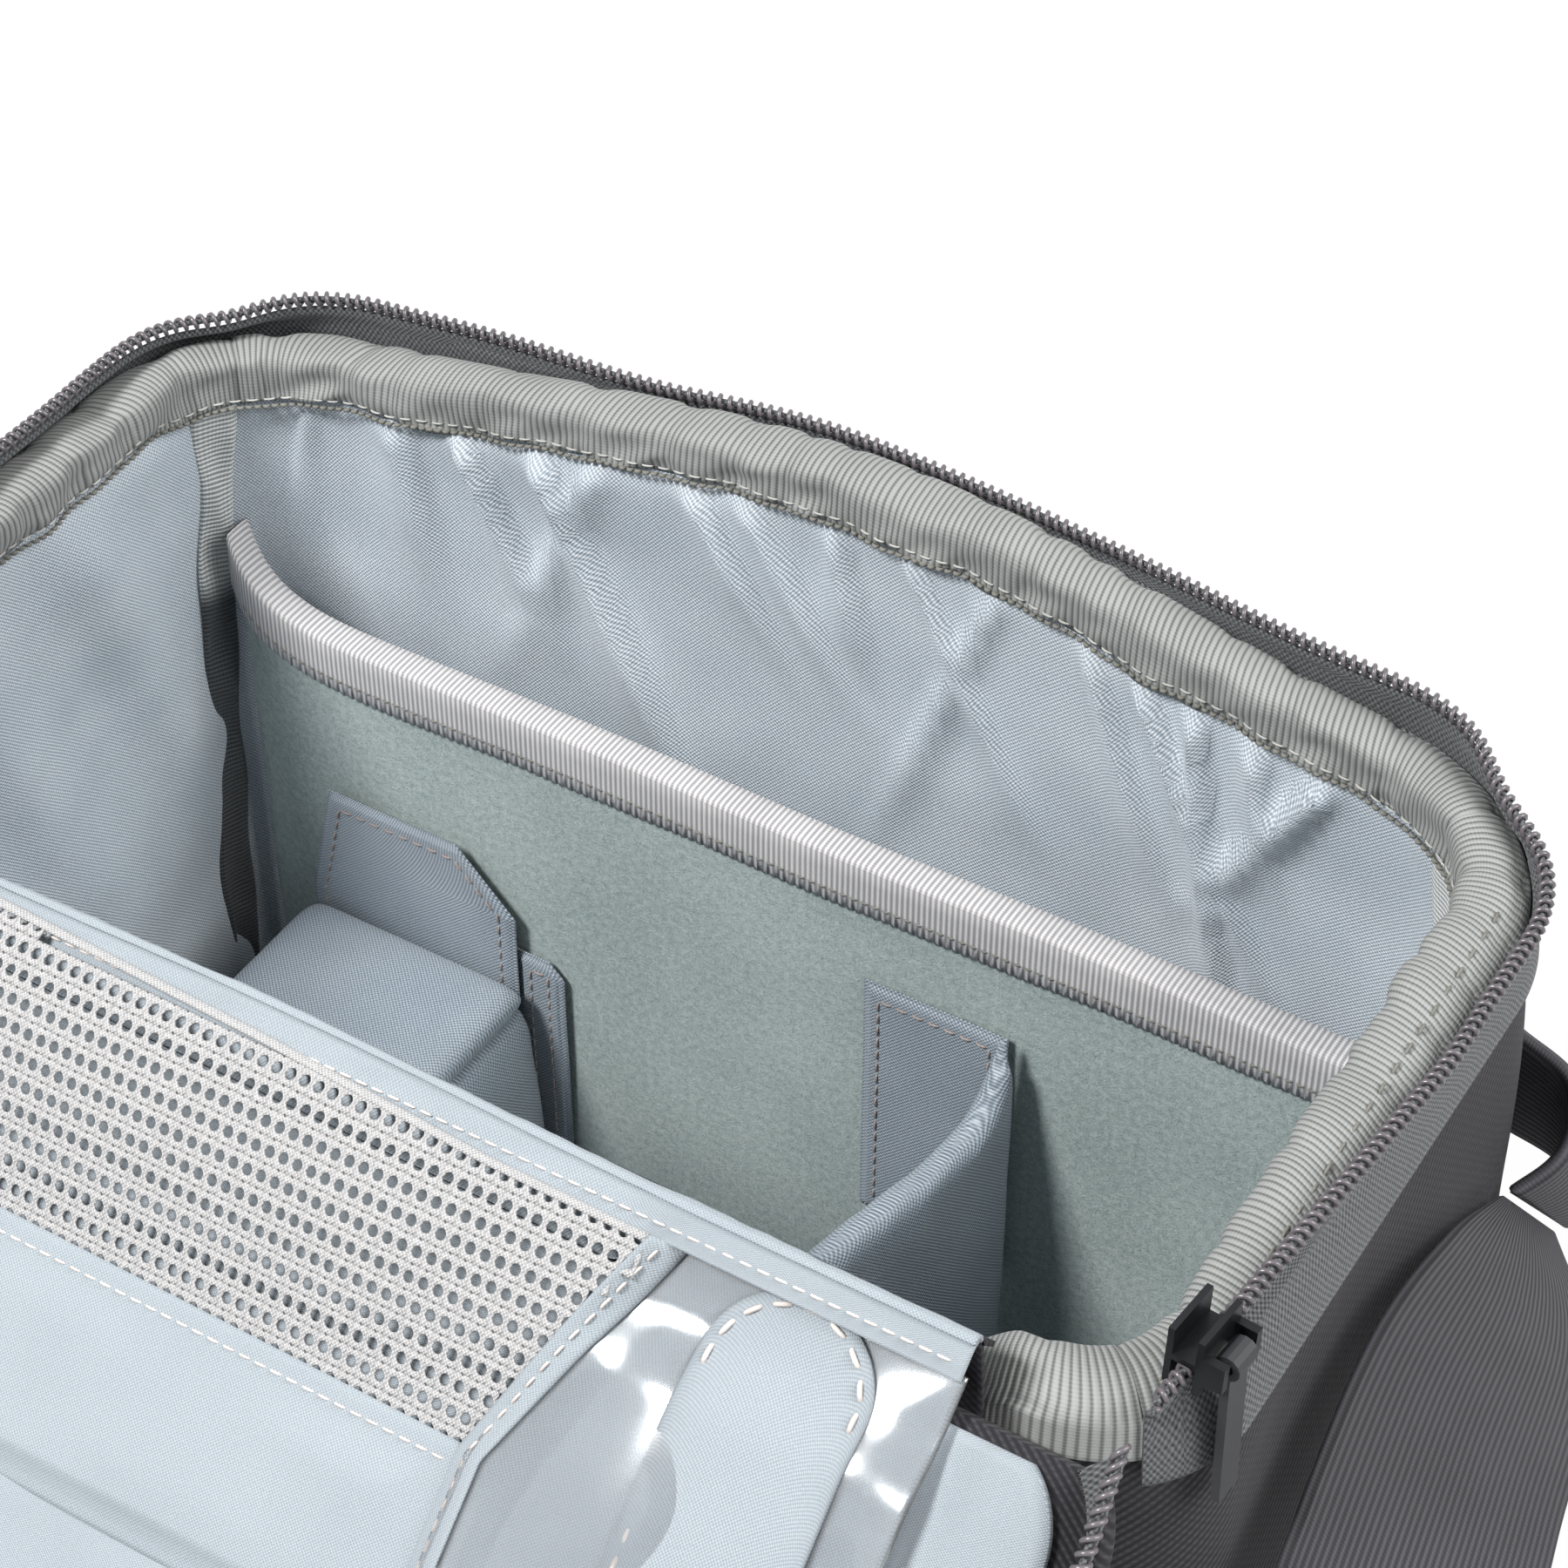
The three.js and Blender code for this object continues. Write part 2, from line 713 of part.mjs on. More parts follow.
// Light hem of the lining along the hinge, and the lid's half of the zip
function lidHemAndZip() {
  const hemBack = lidUnder - seat;
  const hem = slab(
    (u, v, w) => {
      const x = mix(-hingeHalfWidth, hingeHalfWidth, u);
      const y = mix(hemStart, hemStart + hemWidth, v);
      return vector(x, y, v * hemBack - w * hemThickness);
    },
    stripSteps,
    lidTapeRows,
  );
  add("lid_hem", hem, "lining", lid);
  const inLid = (place) => place.sub(lid.position);
  const tape = slab(
    (u, v, w) => {
      const { side, share, outset, z } = coilPoint(u, coilSpacing);
      const upright = outset - zipTapeThickness / 2;
      const rows = [
        [upright, z + coilRadius + seat],
        [upright, z + sliderHalf + seat],
        [-zipTapeThickness - lidOverhang, hingeZ + lidUnder - seat],
      ];
      const [out, height] = rows[Math.round(v * lidTapeRows)];
      return inLid(shellPlace(side, share, out + w * zipTapeThickness, height));
    },
    zipSteps,
    lidTapeRows,
  );
  add("lid_zip_tape", tape, "tape", lid);
  const coil = coilBead(coilSpacing).translate(0, -hingeY, -hingeZ);
  add("lid_zip_coil", coil, "coil", lid);
}

// Joins two or more closed geometries into one
function solidOf(geometry) {
  const bare = new THREE.BufferGeometry();
  const source = geometry.index ? geometry.toNonIndexed() : geometry;
  bare.setAttribute("position", source.getAttribute("position"));
  const merged = mergeVertices(bare, weldDistance);
  const triVerts = new Uint32Array(merged.index.array);
  const vertProperties = merged.getAttribute("position").array;
  return new wasm.Manifold(new wasm.Mesh({ numProp: 3, vertProperties, triVerts }));
}

function join(...geometries) {
  const { vertProperties, triVerts } = geometries
    .map(solidOf)
    .reduce((whole, piece) => whole.add(piece))
    .getMesh();
  const joined = new THREE.BufferGeometry();
  joined.setAttribute("position", new THREE.BufferAttribute(vertProperties, 3));
  joined.setIndex(new THREE.BufferAttribute(triVerts, 1));
  joined.computeVertexNormals();
  return joined;
}

// Net pocket on the inside of the lid: a knitted net on a sewn seam round three of its edges
const hexagonRowShare = Math.sqrt(3) / 2;
const hexagonAngles = Array.from({ length: 6 }, (_, k) => (k * Math.PI) / 3 + Math.PI / 6);
function netPocket() {
  const [near, far] = [netTop, netTop + netDepth];
  const sheet = outlineShape([[netLeft, near], [netRight, near], [netRight, far], [netLeft, far]]);
  const rowPitch = netPitch * hexagonRowShare;
  const [low, high] = [netBorder + netHoleRadius, netBorder + netHoleRadius + netPitch / 2];
  let row = 0;
  for (let y = near + low; y <= far - low; y += rowPitch) {
    const start = netLeft + (row % 2 ? high : low);
    for (let x = start; x <= netRight - low; x += netPitch) {
      const hole = new THREE.Path();
      const places = hexagonAngles.map((angle) =>
        new THREE.Vector2(x + netHoleRadius * Math.cos(angle), y - netHoleRadius * Math.sin(angle)),
      );
      hole.setFromPoints(places);
      sheet.holes.push(hole);
    }
    row += 1;
  }
  const netBack = lidFace - netStand;
  const net = plate(sheet, netThickness).translate(0, 0, netBack - netThickness);
  add("lid_net_pocket", net, "net", lid);

  const inner = netSeamWidth;
  const seam = plate(
    [
      [netLeft, near],
      [netLeft + inner, near],
      [netLeft + inner, far - inner],
      [netRight - inner, far - inner],
      [netRight - inner, near],
      [netRight, near],
      [netRight, far],
      [netLeft, far],
    ],
    netStand - 2 * seat,
  );
  add("lid_net_seam", seam.translate(0, 0, netBack + seat), "lining", lid);
}

// Clear card window beside the net, the tape along its edge and the arched patch on it
const archSegments = 8;
function cardWindow() {
  const [near, far] = [netTop, netTop + netDepth];
  const windowFace = lidFace - seat - windowThickness;
  const corners = [[windowLeft, near], [windowRight, near], [windowRight, far], [windowLeft, far]];
  add("card_window", plate(corners, windowThickness).translate(0, 0, windowFace), "clear", lid);

  const tapeRight = windowLeft + windowTapeWidth;
  const strip = [[windowLeft, near], [tapeRight, near], [tapeRight, far], [windowLeft, far]];
  const tapeFace = windowFace - seat - windowTapeThickness;
  const tape = plate(strip, windowTapeThickness).translate(0, 0, tapeFace);
  add("card_window_tape", tape, "lining", lid);

  const middle = (tapeRight + windowRight) / 2;
  const arch = new THREE.Shape();
  const archFoot = far - (netDepth - patchHeight) / 2;
  const archLine = archFoot - patchHeight + patchRadius;
  arch.moveTo(middle - patchRadius, archFoot);
  arch.lineTo(middle - patchRadius, archLine);
  arch.absarc(middle, archLine, patchRadius, Math.PI, 2 * Math.PI, false);
  arch.lineTo(middle + patchRadius, archFoot);
  const patchFace = windowFace - seat - patchThickness;
  const patch = plate(arch, patchThickness, archSegments).translate(0, 0, patchFace);
  add("card_window_patch", patch, "lining", lid);
}

// Turns a plate drawn in Y and Z so that its thickness runs along X
const alongX = new THREE.Matrix4().makeBasis(vector(0, 1, 0), vector(0, 0, 1), vector(1, 0, 0));

// Two sewn anchors with a webbing loop each, and the padded handle that turns in them
const gripStartShare = 0.3;
const gripFullShare = 0.9;
const handleSteps = 40;
const handleSides = 10;
const smallCurveSegments = 8;
function carryHandle() {
  const foot = lidTop + seat;
  const pivotHeight = foot + anchorThickness + handleEyeRadius + runningGap;
  const ringInner = handleEyeRadius + runningGap;
  const ringOuter = ringInner + anchorThickness;
  const spring = Math.asin(ringInner / ringOuter);
  const profile = new THREE.Shape();
  profile.moveTo(-anchorLength, foot);
  profile.lineTo(anchorLength, foot);
  profile.lineTo(anchorLength, foot + anchorThickness);
  profile.absarc(0, pivotHeight, ringOuter, -spring, Math.PI + spring, false);
  profile.lineTo(-anchorLength, foot + anchorThickness);
  profile.holes.push(new THREE.Path().absarc(0, pivotHeight, ringInner, 0, 2 * Math.PI, true));
  for (const [name, sense] of Object.entries({ left: -1, right: 1 })) {
    const anchor = plate(profile, anchorWidth, smallCurveSegments).applyMatrix4(alongX);
    anchor.translate(sense * handleSpan - anchorWidth / 2, handleLine, 0);
    add(`handle_anchor_${name}`, anchor, "webbing", lid);
  }
  const half = handleSpan;
  const route = new THREE.CatmullRomCurve3([
    vector(-half - anchorWidth / 2, 0, 0),
    vector(-half + anchorWidth / 2, 0, 0),
    vector(-half + anchorWidth / 2 + handleEyeRadius, 0, 0),
    vector(-half + anchorWidth, -handleReach / 4, 0),
    vector(-half / 2, -handleReach, 0),
    vector(half / 2, -handleReach, 0),
    vector(half - anchorWidth, -handleReach / 4, 0),
    vector(half - anchorWidth / 2 - handleEyeRadius, 0, 0),
    vector(half - anchorWidth / 2, 0, 0),
    vector(half + anchorWidth / 2, 0, 0),
  ]);
  const rings = Array.from({ length: handleSteps + 1 }, (_, k) => {
    const at = route.getPoint(k / handleSteps);
    const along = route.getTangent(k / handleSteps);
    const across = vector(-along.y, along.x, 0).normalize();
    const grip = THREE.MathUtils.smoothstep(-at.y / handleReach, gripStartShare, gripFullShare);
    const wide = mix(handleEyeRadius, gripWidth / 2, grip);
    const high = mix(handleEyeRadius, gripThickness / 2, grip);
    return Array.from({ length: handleSides }, (_, m) => {
      const angle = (2 * m * Math.PI) / handleSides;
      const place = at.clone().addScaledVector(across, wide * Math.cos(angle));
      return place.add(vector(0, 0, high * Math.sin(angle)));
    });
  });
  const handle = add("carry_handle", tube(rings), "webbing", lid);
  handle.position.set(0, handleLine, pivotHeight);
  handle.rotation.x = THREE.MathUtils.degToRad(uprightAngle - openAngle);
}

// Thin cloth tabs that hold a divider to the panels by hook and loop
const tabNear = pocketFrontFace - seat - tabThickness;
const dividerRear = tabNear - seat;
const secondTabNear = dividerRear - tabThickness;
const shelfRear = secondTabNear - seat;
const insideFront = -frontReach + insideFace + baseLean;
const frontTabNear = insideFront + seat;
const dividerFront = frontTabNear + tabThickness + seat;

function tab(corners, near) {
  return upright(plate(corners, tabThickness), near, tabThickness);
}

// Left divider: a padded post whose upper half is folded over to make a shelf
const leftDivider = new THREE.Group();
const shelf = new THREE.Group();
const shelfRadius = dividerThickness / 2;
const shelfLine = postTop + seat + shelfRadius;
function leftDividerPieces() {
  const foot = floorTop + seat;
  const half = dividerThickness / 2;
  const [top, low] = [shelfRight, shelfRight + postLean];
  const section = [
    [low - half, foot],
    [low + half, foot],
    [top + half, postTop],
    [top - half, postTop],
  ];
  const depth = dividerRear - dividerFront;
  const post = upright(plate(section, depth), dividerFront, depth);
  add("left_divider_post", post, "divider", leftDivider);

  const rearTab = [
    [postTabLeft, tabFoot],
    [postTabRight, tabFoot],
    [postTabRight, postTabHeight - postTabClip],
    [postTabRight - postTabClip, postTabHeight],
    [postTabLeft, postTabHeight],
  ];
  add("left_divider_rear_tab", tab(rearTab, tabNear), "divider", leftDivider);
  const frontCorners = [
    [low + half, foot + seat],
    [low + half + frontTabLength, foot + seat],
    [top + half + frontTabLength, postTop - tabThickness],
    [top + half, postTop - tabThickness],
  ];
  add("left_divider_front_tab", tab(frontCorners, frontTabNear), "divider", leftDivider);
}

function shelfPieces() {
  const profile = new THREE.Shape();
  profile.moveTo(shelfLeft, shelfLine - shelfRadius);
  profile.lineTo(shelfRight, shelfLine - shelfRadius);
  profile.absarc(shelfRight, shelfLine, shelfRadius, -Math.PI / 2, Math.PI / 2, false);
  profile.lineTo(shelfLeft, shelfLine + shelfRadius);
  const depth = shelfRear - dividerFront;
  const panel = upright(plate(profile, depth), dividerFront, depth);
  add("shelf_flap", panel, "divider", shelf);

  const foot = shelfLine - shelfRadius;
  const brow = shelfLine + shelfRadius;
  const rearTab = [
    [shelfLeft, foot],
    [shelfRight, foot],
    [shelfRight, brow + shelfTabHeight / 2],
    [shelfRight - shelfTabClip, brow + shelfTabHeight],
    [shelfLeft + shelfTabClip / 2, brow + shelfTabHeight],
  ];
  add("shelf_rear_tab", tab(rearTab, secondTabNear), "divider", shelf);
  const frontTab = [
    [shelfLeft + shelfTabClip / 2, foot],
    [shelfRight, foot],
    [shelfRight, brow + shelfTabHeight / 2],
    [shelfLeft + shelfTabClip / 2, brow + shelfTabHeight / 2],
  ];
  add("shelf_front_tab", tab(frontTab, frontTabNear), "divider", shelf);
}

// Right divider: a padded panel that curves and sags between the pocket and the front wall
const curveColumns = 12;
const curveRows = 6;
const curveSwellShare = 0.25;
const rightDivider = new THREE.Group();
function rightDividerPieces() {
  const foot = floorTop + seat;
  const front = frontTabNear + tabThickness + seat;
  const panel = slab(
    (u, v, w) => {
      const y = mix(front, dividerRear, u);
      const x = mix(curveFront, curveRear, Math.sin((u * Math.PI) / 2));
      const top = mix(curveFrontTop, curveRearTop, u ** 3);
      const swell = Math.sin(Math.PI * v) * curveThickness * curveSwellShare;
      const side = w * curveThickness - curveThickness / 2;
      const out = side + Math.sign(side) * swell * Math.sin(Math.PI * u);
      return vector(x + out, y, mix(foot, top, v));
    },
    curveColumns,
    curveRows,
  );
  add("right_divider_panel", panel, "divider", rightDivider);
  const rearTab = [
    [curveTabLeft, curveTabFoot],
    [curveRear, curveTabFoot],
    [curveRear, curveTabTop],
    [curveTabLeft, curveTabTop],
  ];
  add("right_divider_rear_tab", tab(rearTab, tabNear), "divider", rightDivider);
  const frontTab = [
    [curveFront, tabFoot],
    [curveFront + frontTabLength, tabFoot],
    [curveFront + frontTabLength, curveFrontTop],
    [curveFront, curveFrontTop],
  ];
  add("right_divider_front_tab", tab(frontTab, frontTabNear), "divider", rightDivider);
}

// One slider of the main zip, astride both coils, with a bail, and the pull that hangs from it
const bailSides = 10;
const eyeSegments = 6;
function zipSlider(side) {
  const room = coilRadius + runningGap;
  const outer = sliderHalf;
  const [low, high] = [-outer, coilSpacing + outer];
  const [webLow, webHigh] = [room, coilSpacing - room];
  const section = [
    [-outer, low],
    [-room, low],
    [-room, webLow],
    [room, webLow],
    [room, low],
    [outer, low],
    [outer, high],
    [room, high],
    [room, webHigh],
    [-room, webHigh],
    [-room, high],
    [-outer, high],
  ];
  const half = sliderLength / 2;
  const body = upright(plate(section, sliderLength), -half, sliderLength);
  const pinLine = outer + sliderEarReach - bailRadius - runningGap;
  const ears = [-half, half - sliderEarWidth].map((start) => {
    const ear = outlineShape([
      [outer - sliderPlate / 2, 0],
      [outer + sliderEarReach, 0],
      [outer + sliderEarReach, coilSpacing],
      [outer - sliderPlate / 2, coilSpacing],
    ]);
    return upright(plate(ear, sliderEarWidth), start, sliderEarWidth);
  });
  const pinHeight = coilSpacing / 2;
  const pin = new THREE.CylinderGeometry(bailRadius, bailRadius, sliderLength - sliderEarWidth, bailSides);
  pin.translate(pinLine, 0, pinHeight);
  const slider = join(body, ...ears, pin);
  const eyeInner = bailRadius + runningGap;
  const eyeOuter = eyeInner + eyeWall;
  const tongue = new THREE.Shape();
  const lean = Math.asin(pullThickness / 2 / eyeOuter);
  tongue.absarc(0, 0, eyeOuter, lean - Math.PI / 2, (3 * Math.PI) / 2 - lean, false);
  tongue.lineTo(-pullThickness / 2, -pullLength);
  tongue.lineTo(pullThickness / 2, -pullLength);
  tongue.holes.push(new THREE.Path().absarc(0, 0, eyeInner, 0, 2 * Math.PI, true));
  const pull = upright(plate(tongue, pullWidth, eyeSegments), -pullWidth / 2, pullWidth);
  pull.rotateY(-THREE.MathUtils.degToRad(pullTilt[side]));
  pull.translate(pinLine, 0, pinHeight);
  const { from, along } = sliderRun(side);
  if (side === "left") along.negate();
  const out = along.clone().cross(vector(0, 0, 1)).normalize();
  const basis = new THREE.Matrix4().makeBasis(out, along, out.clone().cross(along));
  for (const [name, geometry, finish] of [
    [`zip_slider_${side}`, slider, "metal"],
    [`zip_pull_${side}`, pull, "plastic"],
  ]) {
    const mesh = add(name, geometry, finish);
    mesh.position.copy(from);
    mesh.quaternion.setFromRotationMatrix(basis);
  }
}

// A flat band between two edge curves, with its thickness to one side of them
const ribbonRows = 2;
function ribbon(inner, outer, thickness, columns) {
  const [first, second] = [inner, outer].map((points) => new THREE.CatmullRomCurve3(points));
  return slab(
    (u, v, w) => {
      const [a, b] = [first.getPoint(u), second.getPoint(u)];
      const along = first.getTangent(u).add(second.getTangent(u));
      const lift = along.cross(b.clone().sub(a)).normalize();
      return a.lerp(b, v).addScaledVector(lift, w * thickness);
    },
    columns,
    ribbonRows,
  );
}

// Edges of the strap and of the loop that carries it, as shares of the bag's half length,
// front reach and rim height, for the right-hand end
const strapInnerShares = [
  [1.0505, 0.431, 0.7735],
  [1.055, 0.063, 0.851],
  [1.066, -0.38, 0.893],
  [1.095, -0.886, 0.818],
  [1.109, -1.329, 0.587],
  [1.109, -1.646, 0.314],
  [1.102, -1.924, 0.092],
  [1.036, -2.165, 0.026],
];
const strapOuterShares = [
  [1.099, 0.567, 0.7095],
  [1.212, 0.342, 0.696],
  [1.299, -0.278, 0.755],
  [1.372, -0.911, 0.696],
  [1.416, -1.38, 0.495],
  [1.431, -1.722, 0.252],
  [1.423, -2, 0.071],
  [1.336, -2.481, 0.026],
];
const strapBendShare = 1.3;
const strapSteps = 26;
const loopSteps = 8;
const loopUpperShares = [
  [0.9828, 0.753, 0.822],
  [1.066, 0.709, 0.809],
  [1.088, 0.582, 0.792],
  [1.056, 0.462, 0.777],
];
const loopLowerShares = [
  [0.9863, 0.7637, 0.721],
  [1.073, 0.772, 0.704],
  [1.117, 0.684, 0.7],
  [1.1, 0.6, 0.716],
];
const fromShares = (sense, shares) =>
  shares.map(([x, y, z]) => vector(sense * x * halfLength, y * frontReach, z * rimHeight));

// Webbing loops at the rear corners, the two drops of the strap and its run on the floor
function strapWebbing() {
  const runFront = strapRunRear - strapWidth;
  for (const [name, sense] of Object.entries({ left: -1, right: 1 })) {
    const ends = [strapRunHalf * strapBendShare, strapRunHalf + seat];
    const edge = (shares, y) => [
      ...fromShares(sense, shares),
      ...ends.map((x) => vector(sense * x, y, strapRunHeight)),
    ];
    const drop = [edge(strapInnerShares, strapRunRear), edge(strapOuterShares, runFront)];
    const loop = [loopUpperShares, loopLowerShares].map((shares) => fromShares(sense, shares));
    if (sense < 0) [drop, loop].forEach((edges) => edges.reverse());
    add(`strap_drop_${name}`, ribbon(...drop, strapThickness, strapSteps), "webbing");
    add(`strap_loop_${name}`, ribbon(...loop, strapLoopThickness, loopSteps), "webbing");
  }
  const run = new THREE.BoxGeometry(2 * strapRunHalf, strapWidth, strapThickness);
  run.translate(0, strapRunRear - strapWidth / 2, strapRunHeight + strapThickness / 2);
  add("strap_run", run, "webbing");
}

// Rounded section of a sleeve drawn in Y and Z, with slots for the webbing
const sleeveSegments = 4;
const padRoundShare = 1 / 3;
function sleeve(width, low, high, slots, length, radius) {
  const half = width / 2;
  const section = new THREE.Shape();
  section.moveTo(-half + radius, low);
  section.lineTo(half - radius, low);
  section.absarc(half - radius, low + radius, radius, -Math.PI / 2, 0, false);
  section.absarc(half - radius, high - radius, radius, 0, Math.PI / 2, false);
  section.absarc(-half + radius, high - radius, radius, Math.PI / 2, Math.PI, false);
  section.absarc(-half + radius, low + radius, radius, Math.PI, 1.5 * Math.PI, false);
  const slotHalf = strapWidth / 2 + runningGap;
  for (const [from, to] of slots) {
    const slot = new THREE.Path();
    slot.moveTo(-slotHalf, from);
    slot.lineTo(-slotHalf, to);
    slot.lineTo(slotHalf, to);
    slot.lineTo(slotHalf, from);
    section.holes.push(slot);
  }
  return plate(section, length, sleeveSegments).applyMatrix4(alongX);
}

// Shoulder pad and slide buckle threaded on the run, and the strap's tail through the buckle
function strapFittings() {
  const middle = strapRunRear - strapWidth / 2;
  const slotLow = strapRunHeight - runningGap;
  const slotHigh = strapRunHeight + strapThickness + runningGap;
  const padLow = seat;
  const padHigh = padLow + padThickness;
  const padRound = padThickness * padRoundShare;
  const pad = sleeve(padWidth, padLow, padHigh, [[slotLow, slotHigh]], 2 * padHalf, padRound);
  pad.translate(padCentre - padHalf, middle, 0);
  add("shoulder_pad", pad, "webbing");

  const tailLow = slotHigh + buckleBar + runningGap;
  const tailHigh = tailLow + strapThickness;
  const slots = [
    [slotLow, slotHigh],
    [tailLow - runningGap, tailHigh + runningGap],
  ];
  const buckleHigh = tailHigh + runningGap + buckleBar;
  const buckle = sleeve(buckleWidth, seat, buckleHigh, slots, buckleLength, buckleBar / 2);
  buckle.translate(buckleCentre - buckleLength / 2, middle, 0);
  add("strap_buckle", buckle, "plastic");

  const tail = new THREE.BoxGeometry(tailLength, strapWidth, strapThickness);
  tail.translate(strapRunHalf - tailLength / 2, middle, tailLow + strapThickness / 2);
  add("strap_tail", tail, "webbing");
}

// Pouch sewn to the front wall, open along its top, and the binding on its open edge
const pouchColumns = 20;
const pouchRows = 10;
function frontPouch() {
  const along = (u) => mix(pouchMargin, 1 - pouchMargin, u);
  const swell = (u, v) => {
    const sides = THREE.MathUtils.smoothstep(Math.min(u, 1 - u), 0, pouchMargin);
    const foot = THREE.MathUtils.smoothstep(v, 0, pouchMargin);
    return seat + pouchDepth * Math.min(sides, foot);
  };
  const panel = slab(
    (u, v, w) => {
      const out = swell(u, v) + w * pouchSkin;
      return shellPlace("front", along(u), out, mix(pouchFoot, pouchTop, v));
    },
    pouchColumns,
    pouchRows,
  );
  add("front_pouch", panel, "shell");
  const edge = slab(
    (u, v, w) => {
      const out = swell(u, 1) + mix(-pouchBindingLap, pouchSkin + pouchBindingExtra, w);
      return shellPlace("front", along(u), out, pouchTop + seat + v * pouchBindingHeight);
    },
    pouchColumns,
    1,
  );
  add("front_pouch_binding", edge, "binding");
}

basePanel();
wallsAndLinings();
rimBinding();
cornerTapes();
tabletPocket();
bodyZip();
hingeStrip();
frontPouch();
lidShell();
lidHemAndZip();
netPocket();
cardWindow();
carryHandle();
leftDividerPieces();
shelfPieces();
rightDividerPieces();
bag.add(leftDivider, shelf, rightDivider);
zipSlider("left");
zipSlider("right");
strapWebbing();
strapFittings();

export default bag;
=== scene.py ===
# %% [markdown]
# # A camera shoulder bag, dressed in cloth
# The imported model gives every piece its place. This script loads it, and then sews a finer
# piece over each soft solid: padded walls, a puckered lining, ribbed binding, a zip whose coil
# has turns, and a strap. Each cell says what one piece is on the real bag and how it is made.

import math

import bpy
import numpy as np
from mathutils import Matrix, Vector


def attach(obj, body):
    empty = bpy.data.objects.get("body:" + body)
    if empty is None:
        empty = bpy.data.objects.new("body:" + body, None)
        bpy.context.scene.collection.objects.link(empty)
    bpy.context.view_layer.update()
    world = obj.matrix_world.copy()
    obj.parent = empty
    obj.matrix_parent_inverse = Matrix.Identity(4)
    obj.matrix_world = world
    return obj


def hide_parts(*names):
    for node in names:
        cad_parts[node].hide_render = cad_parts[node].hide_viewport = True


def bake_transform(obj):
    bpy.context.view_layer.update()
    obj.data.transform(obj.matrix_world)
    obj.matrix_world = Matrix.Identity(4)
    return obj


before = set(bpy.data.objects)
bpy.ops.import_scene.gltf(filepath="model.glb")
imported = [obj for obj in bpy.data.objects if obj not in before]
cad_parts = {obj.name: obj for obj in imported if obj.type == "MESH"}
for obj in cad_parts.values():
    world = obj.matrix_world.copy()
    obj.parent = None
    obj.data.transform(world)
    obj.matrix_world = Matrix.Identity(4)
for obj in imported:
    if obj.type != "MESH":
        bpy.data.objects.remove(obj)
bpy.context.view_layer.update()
MM = 0.001

# %% [markdown]
# ## Camera and light
# The picture looks down into the open bag from its right front with a long lens, so that
# parallel edges hardly meet. A long lens far away does the same here. A soft lamp high on the
# left is the main light: it draws the shade to the right of the dividers. A wider and weaker one
# on the right reaches the left wall, and the sky lifts what is left in shade.

# %% Camera
lens = bpy.data.cameras.new("camera")
lens.sensor_width = 36
lens.lens = 84
lens.clip_end = 20
camera = bpy.data.objects.new("camera", lens)
bpy.context.scene.collection.objects.link(camera)
camera.location = (0.252707, -0.362987, 0.630930)
azimuth, elevation = math.radians(31.5), math.radians(42)
look = Vector((-math.sin(azimuth) * math.cos(elevation),
               math.cos(azimuth) * math.cos(elevation),
               -math.sin(elevation)))
camera.rotation_euler = look.to_track_quat("-Z", "Y").to_euler()
bpy.context.scene.camera = camera
bpy.context.scene.view_settings.view_transform = "Standard"
print("camera at", [round(c, 3) for c in camera.location])


# %% Lamps
def soft_lamp(name, place, aim, size, power):
    lamp = bpy.data.lights.new(name, "AREA")
    lamp.shape = "DISK"
    lamp.size = size
    lamp.energy = power
    holder = bpy.data.objects.new(name, lamp)
    holder.location = place
    holder.rotation_euler = (Vector(aim) - Vector(place)).to_track_quat("-Z", "Y").to_euler()
    bpy.context.scene.collection.objects.link(holder)
    return holder


left_softbox = soft_lamp("left_softbox", (-0.42, -0.8, 1.32), (0, 0, 0.12), 0.36, 25)
right_fill = soft_lamp("right_fill", (1.0, 0.15, 1.15), (0, 0, 0.12), 0.9, 18)
print("lamps:", left_softbox.name, right_fill.name)


# %% [markdown]
# ## Writing materials as sums
# A material in Blender is a graph of nodes. To keep one readable, a small class wraps a socket,
# so that `ribs * 0.3 + 1` adds the two Math nodes by itself. Any other node comes from one
# method, which sets the node up first and then fills its sockets.

# %% A socket that can be added and multiplied
class Wire:
    def __init__(self, tree, socket):
        self.tree = tree
        self.socket = socket

    def node(self, kind, out=0, settings=None, **sockets):
        made = self.tree.nodes.new(kind)
        for name, value in (settings or {}).items():
            setattr(made, name, value)
        for name, value in sockets.items():
            key = int(name[1:]) if name[0] == "i" and name[1:].isdigit() else name.replace("_", " ")
            if isinstance(value, Wire):
                self.tree.links.new(value.socket, made.inputs[key])
            else:
                made.inputs[key].default_value = value
        return Wire(self.tree, made.outputs[out])

    def math(self, operation, *values):
        slots = {f"i{k}": value for k, value in enumerate(values)}
        return self.node("ShaderNodeMath", settings={"operation": operation}, **slots)

    def __add__(self, other):
        return self.math("ADD", self, other)

    def __sub__(self, other):
        return self.math("SUBTRACT", self, other)

    def __mul__(self, other):
        return self.math("MULTIPLY", self, other)

    def __pow__(self, other):
        return self.math("POWER", self, other)

    def sine(self):
        return self.math("SINE", self)

    def between(self, low, high):
        settings = {"interpolation_type": "SMOOTHSTEP"}
        return self.node("ShaderNodeMapRange", settings=settings, Value=self, From_Min=low,
                         From_Max=high)

    def blend(self, first, second):
        settings = {"data_type": "RGBA"}
        first, second = [(*c, 1) if isinstance(c, tuple) else c for c in (first, second)]
        return self.node("ShaderNodeMix", out=2, settings=settings, i0=self, i6=first, i7=second)


